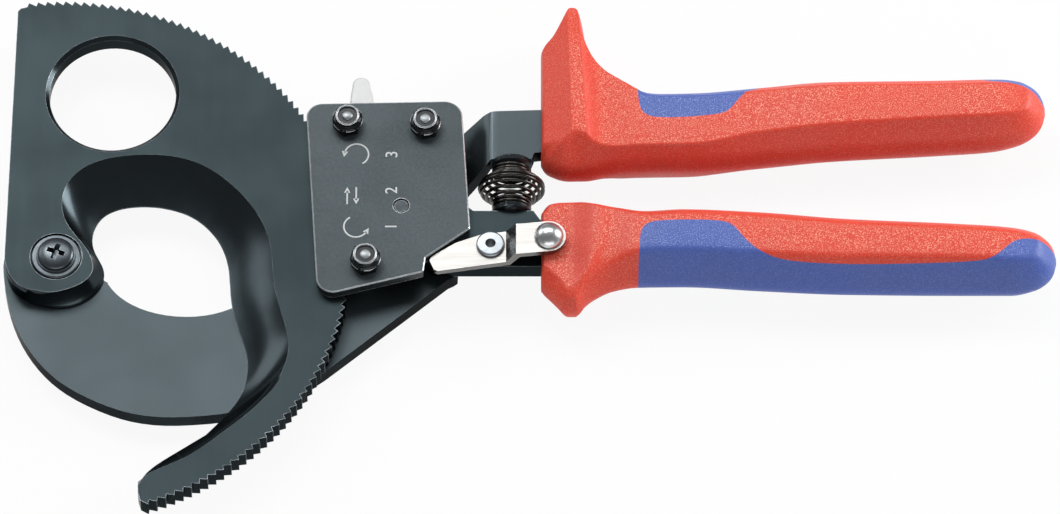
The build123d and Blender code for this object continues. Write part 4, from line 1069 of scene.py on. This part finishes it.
@dataclass
class Grip:
    """One dipped grip: its sleeve with the guard, and its soft zones."""

    shape: GripShape
    paints: Paintbox
    across_count: int = 84
    edge_round: float = 2.4
    edge_reach: float = 2.0
    end_slope: float = 1.6
    front_face: float = 5.6
    front_reach: float = 0.9
    front_slope: float = 1.9
    guard_step: float = 0.28
    fine_until: float = 150.0
    coarse_from: float = 150.4
    handle_step: float = 1.4
    tail: float = 10.0
    guard_end: float = 155.0
    guard_fade: float = 11.0
    side_drop: float = 0.7
    least_height: float = 0.02
    zone_half: float = 20.0 * MM

    def __post_init__(self) -> None:
        """Find the blade's pivot, which the shape is measured from, and the middle plane."""
        self.pivot = blade_pivot()
        low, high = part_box("handle_shank")
        self.middle = (low.z + high.z) / 2

    def _stations(self) -> Array:
        """Return the places along the grip: close together at both ends and on the guard."""
        front, end = self.shape.upper_edge[0][0], self.shape.upper_edge[-1][0]
        nose = front + self.front_reach * (1 - np.cos(np.linspace(0, math.pi / 2, 7)))
        guard = np.arange(nose[-1] + self.guard_step, self.fine_until, self.guard_step)
        handle = np.arange(self.coarse_from, end - self.tail, self.handle_step)
        tail = end - self.tail * np.cos(np.linspace(0, math.pi / 2, 26))
        return np.concatenate((nose, guard, handle, tail))

    def _crown(self, along: Array, across: Array) -> Array:
        """Return the height of the crown with the guard's ridge over points of the plan.

        Args:
            along: Places along the tool.
            across: Places across the tool.

        Returns:
            The half thickness there, before the sides cut it down.
        """
        shape = self.shape
        ridge = flowing(shape.ridge_height, across)
        before = np.maximum(flowing(shape.ridge_left, across) - along, 0.0)
        behind = np.maximum(along - flowing(shape.ridge_right, across), 0.0)
        drop = shape.right_drop * (1 - np.exp(-behind / shape.right_reach))
        guard = ridge - shape.left_fall * before - drop
        if shape.under_latch:
            guard = lower_of(guard, flowing(shape.crown, along), 0.25)
        upper, lower = flowing(shape.upper_edge, along), flowing(shape.lower_edge, along)
        side = (2 * across - upper - lower) / np.maximum(upper - lower, 1e-6)
        handle = flowing(shape.crown, along) - self.side_drop * side**2
        share = np.clip((self.guard_end - along) / self.guard_fade, 0.0, 1.0)
        share = share**2 * (3 - 2 * share)
        return guard * share + handle * (1 - share)

    def _sleeve(self) -> bpy.types.Mesh:
        """Work out the sleeve: a grid over the plan, lifted to its height and mirrored below.

        Returns:
            The closed mesh.
        """
        shape = self.shape
        along = self._stations()
        upper, lower = flowing(shape.upper_edge, along), flowing(shape.lower_edge, along)
        share = (1 - np.cos(np.linspace(0, math.pi, self.across_count))) / 2
        x = np.repeat(along[:, None], self.across_count, axis=1)
        y = lower[:, None] + (upper - lower)[:, None] * share[None, :]
        spots = np.column_stack((x.ravel(), y.ravel()))
        top_line = np.column_stack((along, upper))
        low_line = np.column_stack((along, lower))
        from_top, from_low = away_from(spots, top_line), away_from(spots, low_line)
        from_end = away_from(spots, np.vstack((top_line[-1:], low_line[-1:])))
        from_front = spots[:, 0] - along[0]

        def rounded(distance: Array, rise: float, reach: float) -> Array:
            """Rise like a quarter of an ellipse, and stay level past its reach."""
            return rise * np.sqrt(1 - (1 - np.clip(distance / reach, 0.0, 1.0)) ** 2)

        height = self._crown(spots[:, 0], spots[:, 1])
        edge, front = (self.edge_round, self.edge_reach), (self.front_face, self.front_reach)
        for distance, form, slope, rounding in (
            (from_top, edge, flowing(shape.high_slope, spots[:, 0]), shape.crease),
            (from_low, edge, flowing(shape.low_slope, spots[:, 0]), shape.crease),
            (from_end, edge, self.end_slope, 1.0),
            (from_front, front, self.front_slope, 0.3),
        ):
            height = lower_of(height, rounded(distance, *form) + slope * distance, rounding)
        at_edge = np.minimum(np.minimum(from_top, from_low), np.minimum(from_end, from_front)) < 1e-6
        height = np.where(at_edge, 0.0, np.maximum(height, self.least_height))
        plan = spots * MM + self.pivot
        sheets = [np.column_stack((plan, self.middle + way * height * MM)) for way in (1.0, -1.0)]
        quads = [
            grid_faces(len(along), self.across_count, first, flip)
            for first, flip in ((0, False), (len(spots), True))
        ]
        mesh = mesh_of(shape.name, np.vstack(sheets), np.vstack(quads).tolist())
        settle(mesh, ROUND_CREASE)
        return mesh

    def _zone(self, rows: Rows) -> bpy.types.Mesh:
        """Make the prism that cuts a soft zone out: its outline's corners cut off three times over.

        Args:
            rows: The zone's corners, in millimetres.

        Returns:
            The closed mesh.
        """
        outline = np.array(rows, float)
        for _ in range(3):
            following = np.roll(outline, -1, axis=0)
            pairs = (0.75 * outline + 0.25 * following, 0.25 * outline + 0.75 * following)
            outline = np.stack(pairs, axis=1).reshape(-1, 2)
        return prism(outline * MM + self.pivot, self.middle - self.zone_half, self.middle + self.zone_half)

    def build(self) -> None:
        """Build the sleeve, cut the soft zones out of it and keep what was cut as their own piece."""
        shape = self.shape
        sleeve = self._sleeve()
        soft = []
        for rows in shape.zones:
            cutter = self._zone(rows)
            soft.append(carved(sleeve, cutter, "INTERSECT"))
            sleeve = carved(sleeve, cutter, "DIFFERENCE")
        work = bmesh.new()
        for mesh in soft:
            work.from_mesh(mesh)
        zones = bpy.data.meshes.new(shape.name + " zones")
        work.to_mesh(zones)
        work.free()
        for ending, mesh, slot, node in (
            ("_sleeve", sleeve, "grip_red", shape.name),
            ("_soft_zone", zones, "grip_blue", shape.name + "_inlay"),
        ):
            settle(mesh, ROUND_CREASE)
            place_piece(shape.name + ending, mesh, shape.body, slot, self.paints.take(slot), node)


# Just inside the cutting edge beside the hub, in millimetres from the blade's pivot: the
# fixed plate ends there, out of sight under the moving blade.
HUB_CUT: Rows = (
    (11.2, 16.6), (9.4, 12.2), (8.5, 8.2), (9.0, 4.6), (10.3, 1.4), (11.6, -2.0), (12.7, -4.2),
    (14.4, -5.2), (17.0, -2.0), (18.0, 6.0), (16.0, 16.6),
)


@dataclass(frozen=True)
class Chamfer:
    """A sloping edge of the moving blade.

    Attributes:
        rows: Where it meets the flat face, in millimetres from the blade's pivot.
        reach: How far the slope goes on, in metres.
        slope: How much it falls over each step outwards.
        turned: Whether the slope falls to the right of its rows and not to their left.
    """

    rows: Rows
    reach: float
    slope: float
    turned: bool


# Where the chamfer on the blade's arm begins, from the arm's tip to the hollow grind.
ARM_EDGE: Rows = (
    (22.6, -70.5), (23.4, -67.6), (24.4, -66.0), (26.4, -64.7), (30.9, -62.5), (35.8, -60.0),
    (40.7, -56.5), (45.6, -52.4), (50.6, -48.1), (55.5, -43.1), (58.6, -39.2), (60.5, -35.2),
    (61.0, -31.5),
)

# Where the short slope round the hub's front left corner begins.
HUB_EDGE: Rows = (
    (-13.8, -0.4), (-13.2, -2.8), (-12.3, -5.2), (-10.9, -7.4), (-9.2, -9.0), (-7.2, -9.8), (-5.0, -10.2),
    (-2.2, -10.75), (0.6, -11.3),
)


CHAMFERS = (Chamfer(ARM_EDGE, 6.0 * MM, 0.58, False), Chamfer(HUB_EDGE, 1.6 * MM, 1.4, True))


@dataclass
class RoundedSteel:
    """The turned, bent and ground pieces, shown with their curved faces smooth."""

    paints: Paintbox
    nodes: tuple[str, ...] = (
        "fixed_blade_frame", "moving_blade", "pivot_washer", "lock_nuts", "housing_bolts", "release_tab",
        "handle_shank", "latch_lever", "latch_rivet", "latch_knob", "spring_seat_lower", "spring_seat_upper",
    )
    ground: tuple[str, ...] = ("fixed_blade_frame", "moving_blade", "latch_lever")
    crease: float = 28.0
    cut_below: float = 8.0 * MM
    cut_above: float = 0.5 * MM
    edge_points: int = 90

    def build(self) -> None:
        """Copy each node's mesh, weld it, and show it smooth in the node's place."""
        for node in self.nodes:
            mesh = frame["nodes"][node].data.copy()
            settle(mesh, self.crease, flats=node in self.ground)
            if node == "fixed_blade_frame":
                mesh = self._without_crescent(mesh)
            if node == "moving_blade":
                mesh = self._with_chamfers(mesh)
            slot = SLOTS[node]
            material = self.paints.take(OWN_FINISH.get(node, slot))
            place_piece(node + "_finished", mesh, body_of(node), slot, material, node)

    def _without_crescent(self, mesh: bpy.types.Mesh) -> bpy.types.Mesh:
        """Cut off what stands out of the fixed plate's hub beside the cutting edge.

        Args:
            mesh: The frame's mesh.

        Returns:
            The cut mesh.
        """
        low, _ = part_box("pivot_bush")
        outline = np.array(HUB_CUT) * MM + blade_pivot()
        cutter = prism(outline, low.z - self.cut_below, low.z + self.cut_above)
        cut = carved(mesh, cutter, "DIFFERENCE")
        settle(cut, self.crease, flats=True)
        return cut

    def _with_chamfers(self, mesh: bpy.types.Mesh) -> bpy.types.Mesh:
        """Take the upper edge off the blade's arm, up to the hollow grind, and off the hub's corner.

        Args:
            mesh: The moving blade's mesh.

        Returns:
            The cut mesh.
        """
        _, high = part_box("moving_blade")
        for edge in CHAMFERS:
            along = np.linspace(edge.rows[0][0], edge.rows[-1][0], self.edge_points)
            line = np.column_stack((along, flowing(edge.rows, along))) * MM + blade_pivot()
            cutter = wedge(line[::-1] if edge.turned else line, high.z, edge.reach, edge.slope)
            mesh = carved(mesh, cutter, "DIFFERENCE")
        settle(mesh, self.crease, flats=True)
        return mesh


@dataclass
class PivotScrew:
    """The pan head screw in the blade's pivot, with its cross recess."""

    paints: Paintbox
    sides: int = 96
    shank_radius: float = 2.5 * MM
    head_radius: float = 5.3 * MM
    side_height: float = 1.25 * MM
    cross_half: float = 2.75 * MM
    cross_arm: float = 0.78 * MM
    cross_depth: float = 2.0 * MM
    cross_clear: float = 0.4 * MM
    cross_turn: float = -18.0
    foot_half: float = 0.5
    foot_arm: float = 0.65
    crease: float = 35.0

    def _profile(self) -> Array:
        """Work out the screw's half outline, with a dome that is a quarter of a flat ellipse.

        Returns:
            Rows of radius and height, from its foot to the top of its dome.
        """
        low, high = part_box("pivot_screw")
        _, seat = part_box("pivot_washer")
        shank = self.shank_radius
        shoulder = seat.z + self.side_height
        swing = np.linspace(0.0, math.pi / 2, 14)
        dome = np.column_stack((
            (self.head_radius - 0.5 * MM) * np.cos(swing) ** 0.8,
            shoulder + (high.z - shoulder) * np.sin(swing),
        ))
        foot = np.array((
            (0.0, low.z), (shank - 0.3 * MM, low.z), (shank, low.z + 0.3 * MM), (shank, seat.z),
            (self.head_radius - 0.1 * MM, seat.z), (self.head_radius, seat.z + 0.15 * MM),
            (self.head_radius - 0.1 * MM, seat.z + 0.55 * MM),
            (self.head_radius - 0.45 * MM, seat.z + 0.65 * MM),
        ))
        return np.vstack((foot, dome))

    def _cross(self, half: float, arm: float) -> Array:
        """Return a cross's twelve corners round the blade's pivot.

        Args:
            half: How far each arm reaches.
            arm: Half of each arm's width.

        Returns:
            Rows of x and y.
        """
        corners = np.array(((half, -arm), (half, arm), (arm, arm)))
        turns = np.radians(self.cross_turn + 90.0 * np.arange(4))
        rows = np.cos(turns), -np.sin(turns), np.sin(turns), np.cos(turns)
        spins = np.stack(rows, axis=1).reshape(4, 2, 2)
        return np.einsum("kij,cj->kci", spins, corners).reshape(-1, 2) + blade_pivot()

    def build(self) -> None:
        """Turn the screw, cut its cross and put it in its node's place."""
        profile = self._profile()
        around = np.linspace(0.0, 2 * math.pi, self.sides + 1)
        centre = blade_pivot()
        rings = np.stack((
            centre[0] + profile[:, :1] * np.cos(around), centre[1] + profile[:, :1] * np.sin(around),
            np.repeat(profile[:, 1:], self.sides + 1, 1),
        ), axis=2)
        faces = grid_faces(len(profile), self.sides + 1, 0, False)
        mesh = mesh_of("screw", rings.reshape(-1, 3), faces.tolist())
        settle(mesh)
        top = profile[-1, 1]
        cutter = prism(
            self._cross(self.cross_half, self.cross_arm), top - self.cross_depth, top + self.cross_clear,
            self._cross(self.foot_half * self.cross_half, self.foot_arm * self.cross_arm),
        )
        cut = carved(mesh, cutter, "DIFFERENCE")
        settle(cut, self.crease)
        material = self.paints.take("screw_steel")
        place_piece("pivot_screw_finished", cut, "frame", "black_steel", material, "pivot_screw")


# The middles of the three lock nuts, in millimetres from the blade's pivot.
NUT_SPOTS: Rows = ((77.3, 38.5), (98.1, 37.6), (82.4, -3.8))


@dataclass
class NutLips:
    """The bright rolled lips of the lock nuts' collars."""

    paints: Paintbox
    lip_radius: float = 2.8 * MM
    lip_round: float = 0.26 * MM
    sides: int = 14
    sunk: float = 0.08 * MM

    def build(self) -> None:
        """Carry a small circle round each collar's top: closed rings that stand for no CAD node."""
        _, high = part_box("lock_nuts")
        around = np.linspace(0.0, 2 * math.pi, 73)
        outwards = np.column_stack((np.cos(around), np.sin(around), np.zeros_like(around)))
        up = np.tile((0.0, 0.0, 1.0), (len(around), 1))
        shapes = []
        for spot in np.array(NUT_SPOTS) * MM + blade_pivot():
            centre = np.array((*spot, high.z - self.sunk))
            path = centre + self.lip_radius * outwards
            points, faces = tube(path, outwards, up, self.lip_round, self.sides)
            cap = self.sides + 1
            faces = faces[((faces >= cap) & (faces < len(points) - cap)).all(axis=1)]
            shapes.append((points, faces.tolist()))
        mesh = mesh_of("lips", *joined(shapes))
        settle(mesh, ROUND_CREASE)
        material = self.paints.take("bearing_steel")
        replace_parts(place_piece("lock_nut_lips", mesh, "frame", "black_steel", material))


@dataclass
class BarrelSpring:
    """The opening spring: a coil with narrow ends and a short wide belly."""

    paints: Paintbox
    end_radius: float = 4.8 * MM
    belly: float = 3.8 * MM
    belly_power: float = 4.0
    wire: float = 0.50 * MM
    turns: float = 11.0
    steps_a_turn: int = 30
    sides: int = 12
    crease: float = 50.0

    def build(self) -> None:
        """Coil the wire between the two seats.

        The radius is the end's radius plus the belly times a power of the sine of the share
        of the length, and the pitch is even.
        """
        low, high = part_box("opening_spring")
        share = np.linspace(0.0, 1.0, int(self.turns * self.steps_a_turn) + 1)
        turn = 2 * math.pi * self.turns * share
        radius = self.end_radius + self.belly * np.sin(math.pi * share) ** self.belly_power
        outwards = np.column_stack((np.cos(turn), np.zeros_like(turn), np.sin(turn)))
        height = low.y + self.wire + (high.y - low.y - 2 * self.wire) * share
        middle = (low + high) / 2
        path = radius[:, None] * outwards
        path += np.column_stack((np.full_like(turn, middle.x), height, np.full_like(turn, middle.z)))
        ahead = np.gradient(path, axis=0)
        ahead /= np.linalg.norm(ahead, axis=1, keepdims=True)
        beside = np.cross(ahead, outwards)
        beside /= np.linalg.norm(beside, axis=1, keepdims=True)
        points, faces = tube(path, np.cross(beside, ahead), beside, self.wire, self.sides)
        mesh = mesh_of("coil", points, faces.tolist())
        settle(mesh, self.crease)
        node, slot = "opening_spring", "spring_steel"
        place_piece("opening_spring_coil", mesh, body_of(node), slot, self.paints.take(slot), node)


@dataclass
class CoverMarks:
    """Plain numbers and arrows painted on the cover."""

    paints: Paintbox
    font_size: float = 3.4 * MM * 1.35
    stroke: float = 0.42 * MM
    head: float = 1.7 * MM
    shaft_stop: float = 1.2 * MM
    arc_radius: float = 3.2 * MM
    arc_tip: float = 1.3 * MM
    arc_points: int = 28
    arrows_right: float = 13.5 * MM
    figures_right: float = 9.5 * MM
    rows_down: tuple[float, ...] = (16.5 * MM, 27.5 * MM, 38.5 * MM)
    pair_below: float = 4.2 * MM
    pair_above: float = 1.0 * MM
    pair_apart: float = 2.4 * MM
    paint_thick: float = 0.03 * MM
    sunk: float = 0.01 * MM

    def __post_init__(self) -> None:
        """Find the cover's upper face and its corner at the left and back."""
        low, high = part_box("cover_plate")
        self.low = high.z - self.sunk
        self.high = high.z + self.paint_thick
        self.left, self.back = low.x, high.y

    def _figure(self, text: str, x: float, y: float) -> Shape:
        """Make a figure's mesh, turned a quarter so that it reads from the right.

        Args:
            text: The figure.
            x: The figure's middle along X, in metres.
            y: The figure's middle along Y, in metres.

        Returns:
            The points and the faces.
        """
        curve = bpy.data.curves.new("figure " + text, "FONT")
        curve.body = text
        curve.size = self.font_size
        curve.align_x = "CENTER"
        curve.align_y = "CENTER"
        curve.extrude = (self.high - self.low) / 2
        holder = put_in("figure " + text, curve)
        bpy.context.view_layer.update()
        mesh = bpy.data.meshes.new_from_object(holder)
        flat = np.zeros(len(mesh.vertices) * 3)
        mesh.vertices.foreach_get("co", flat)
        points = flat.reshape(-1, 3)
        faces = [tuple(face.vertices) for face in mesh.polygons]
        bpy.data.objects.remove(holder)
        bpy.data.curves.remove(curve)
        bpy.data.meshes.remove(mesh)
        middle = (self.low + self.high) / 2
        return np.column_stack((x - points[:, 1], y + points[:, 0], points[:, 2] + middle)), faces

    def _arrow(self, path: Array, tip: Array, direction: Array) -> list[Shape]:
        """Return an arrow's shaft along a path and its head, from its tip and direction."""
        shaft = ribbon(path, self.stroke, self.low, self.high)
        return [shaft, arrow_head(tip, direction, self.head, self.low, self.high)]

    def _arc(self, x: float, y: float, start: float, end: float) -> list[Shape]:
        """Make an arrow that bends round a centre.

        Args:
            x: The arc's centre along X, in metres.
            y: The arc's centre along Y, in metres.
            start: Its first angle, in degrees.
            end: Its last angle, in degrees.

        Returns:
            The shaft and the head.
        """
        angle = np.radians(np.linspace(start, end, self.arc_points))
        path = np.column_stack((x + self.arc_radius * np.cos(angle), y + self.arc_radius * np.sin(angle)))
        way = 1.0 if end > start else -1.0
        direction = way * np.array((-math.sin(angle[-1]), math.cos(angle[-1])))
        return self._arrow(path, path[-1] + direction * self.arc_tip, direction)

    def _straight(self, start: tuple[float, float], end: tuple[float, float]) -> list[Shape]:
        """Make a straight arrow.

        Args:
            start: The shaft's first point, in metres.
            end: The head's tip, in metres.

        Returns:
            The shaft and the head.
        """
        first, last = np.array(start), np.array(end)
        direction = (last - first) / np.linalg.norm(last - first)
        path = first + (last - direction * self.shaft_stop - first) * np.linspace(0, 1, 6)[:, None]
        return self._arrow(path, last, direction)

    def build(self) -> None:
        """Paint the three figures, each beside its arrow, down the middle of the cover."""
        x = self.left + self.arrows_right
        rows = [self.back - down for down in self.rows_down]
        shapes = [self._figure(text, x + self.figures_right, y) for text, y in zip("321", rows)]
        foot, top, beside = rows[1] - self.pair_below, rows[1] + self.pair_above, x - self.pair_apart
        shapes += self._arc(x, rows[0], -60.0, 170.0)
        shapes += self._straight((x, top), (x, foot))
        shapes += self._straight((beside, foot), (beside, top))
        shapes += self._arc(x, rows[2], 120.0, 330.0)
        mesh = mesh_of("marks", *joined(shapes))
        place_piece("cover_marks", mesh, "frame", "tab_grey", self.paints.take("mark_white"))


@dataclass(frozen=True)
class Lamp:
    """One soft lamp: where it hangs and its width and height in metres, and its power in watts."""

    name: str
    place: tuple[float, float, float]
    width: float
    height: float
    power: float


LAMPS = (
    Lamp("overhead lamp", (-0.05, 0.68, 1.14), 1.30, 0.58, 8.0),
    Lamp("right lamp", (1.00, 0.35, 0.35), 0.50, 0.50, 9.0),
    Lamp("left lamp", (-1.00, 0.60, 0.55), 0.60, 0.50, 3.0),
    Lamp("front lamp", (0.10, -1.25, 0.34), 1.60, 0.30, 4.6),
    Lamp("crest lamp", (-0.43, 0.58, 0.96), 0.20, 0.36, 2.4),
)


@dataclass
class Studio:
    """The plain pale floor, the soft lamps and the camera."""

    aim: Vector = field(default_factory=lambda: Vector((0.00015, -0.00246, 0.0138)))
    distance: float = 2.48
    elevation: float = 61.2
    field_of_view: float = 6.507
    floor_size: float = 6.0
    floor_lift: float = 0.92
    sky_strength: float = 0.22

    def build(self) -> None:
        """Build the floor, the world, the lamps and the camera."""
        self._floor()
        self._world()
        for lamp in LAMPS:
            self._hang(lamp)
        self._camera()

    @staticmethod
    def _mixed(wiring: Wiring, share: Socket, first: bpy.types.Node, second: bpy.types.Node) -> Socket:
        """Mix two shaders by a share.

        Args:
            wiring: The wiring of the material or world.
            share: How much the second one counts, from 0 to 1.
            first: The first shader's node.
            second: The second shader's node.

        Returns:
            The mixed shader's socket.
        """
        mix = wiring.add("ShaderNodeMixShader")
        for number, source in enumerate((share, first.outputs[0], second.outputs[0])):
            wiring.join(source, mix.inputs[number])
        return mix.outputs[0]

    def _floor(self) -> None:
        """Lay the floor: a pale sheet that also glows to the camera and in reflections, near white."""
        half = self.floor_size / 2
        corners = np.array(((-half, -half, 0.0), (half, -half, 0.0), (half, half, 0.0), (-half, half, 0.0)))
        mesh = mesh_of("floor", corners, [(0, 1, 2, 3)])
        material = bpy.data.materials.new("pale floor")
        wiring = cleared(material)
        matt = wiring.add("ShaderNodeBsdfDiffuse", in_Color=(0.90, 0.90, 0.90, 1.0))
        glow = wiring.add("ShaderNodeEmission", in_Color=(1.0, 1.0, 1.0, 1.0), in_Strength=1.0)
        path = wiring.add("ShaderNodeLightPath")
        seen = wiring.maths("MAXIMUM", path.outputs["Is Camera Ray"], path.outputs["Is Glossy Ray"])
        share = wiring.maths("MULTIPLY", seen, self.floor_lift)
        wiring.show("ShaderNodeOutputMaterial", self._mixed(wiring, share, matt, glow))
        mesh.materials.append(material)
        put_in("floor", mesh)

    def _world(self) -> None:
        """Light everything with a dim, even sky that the camera sees as white."""
        world = bpy.data.worlds.new("studio")
        bpy.context.scene.world = world
        wiring = cleared(world)
        sky, white = (
            wiring.add("ShaderNodeBackground", in_Color=colour, in_Strength=strength)
            for colour, strength in (((0.95, 0.97, 1.0, 1.0), self.sky_strength), ((1.0, 1.0, 1.0, 1.0), 1.0))
        )
        seen = wiring.add("ShaderNodeLightPath").outputs["Is Camera Ray"]
        wiring.show("ShaderNodeOutputWorld", self._mixed(wiring, seen, sky, white))

    def _hang(self, lamp: Lamp) -> None:
        """Hang one lamp so that it points at the object's middle.

        Args:
            lamp: The lamp.
        """
        light = bpy.data.lights.new(lamp.name, "AREA")
        light.shape = "RECTANGLE"
        light.size = lamp.width
        light.size_y = lamp.height
        light.energy = lamp.power
        holder = put_in(lamp.name, light)
        holder.location = Vector(lamp.place)
        holder.rotation_euler = (self.aim - Vector(lamp.place)).to_track_quat("-Z", "Y").to_euler()

    def _camera(self) -> None:
        """Stand the camera at its distance from the aim, looking down at it."""
        camera = bpy.data.cameras.new("camera")
        camera.sensor_fit = "HORIZONTAL"
        camera.angle = math.radians(self.field_of_view)
        camera.clip_start = 0.05
        camera.clip_end = 30.0
        holder = put_in("camera", camera)
        tilt = math.radians(self.elevation)
        holder.location = self.aim + self.distance * Vector((0.0, -math.cos(tilt), math.sin(tilt)))
        holder.rotation_euler = (math.radians(90.0) - tilt, 0.0, 0.0)
        bpy.context.scene.camera = holder


def main() -> None:
    """Dress the CAD nodes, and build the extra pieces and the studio."""
    paints = Paintbox()
    paints.dress_nodes()
    for shape in (UPPER_SHAPE, LOWER_SHAPE):
        Grip(shape, paints).build()
    for maker in (RoundedSteel, PivotScrew, BarrelSpring, NutLips, CoverMarks):
        maker(paints).build()
    Studio().build()
    bpy.context.scene.view_settings.view_transform = "Standard"


if __name__ == "__main__":
    main()
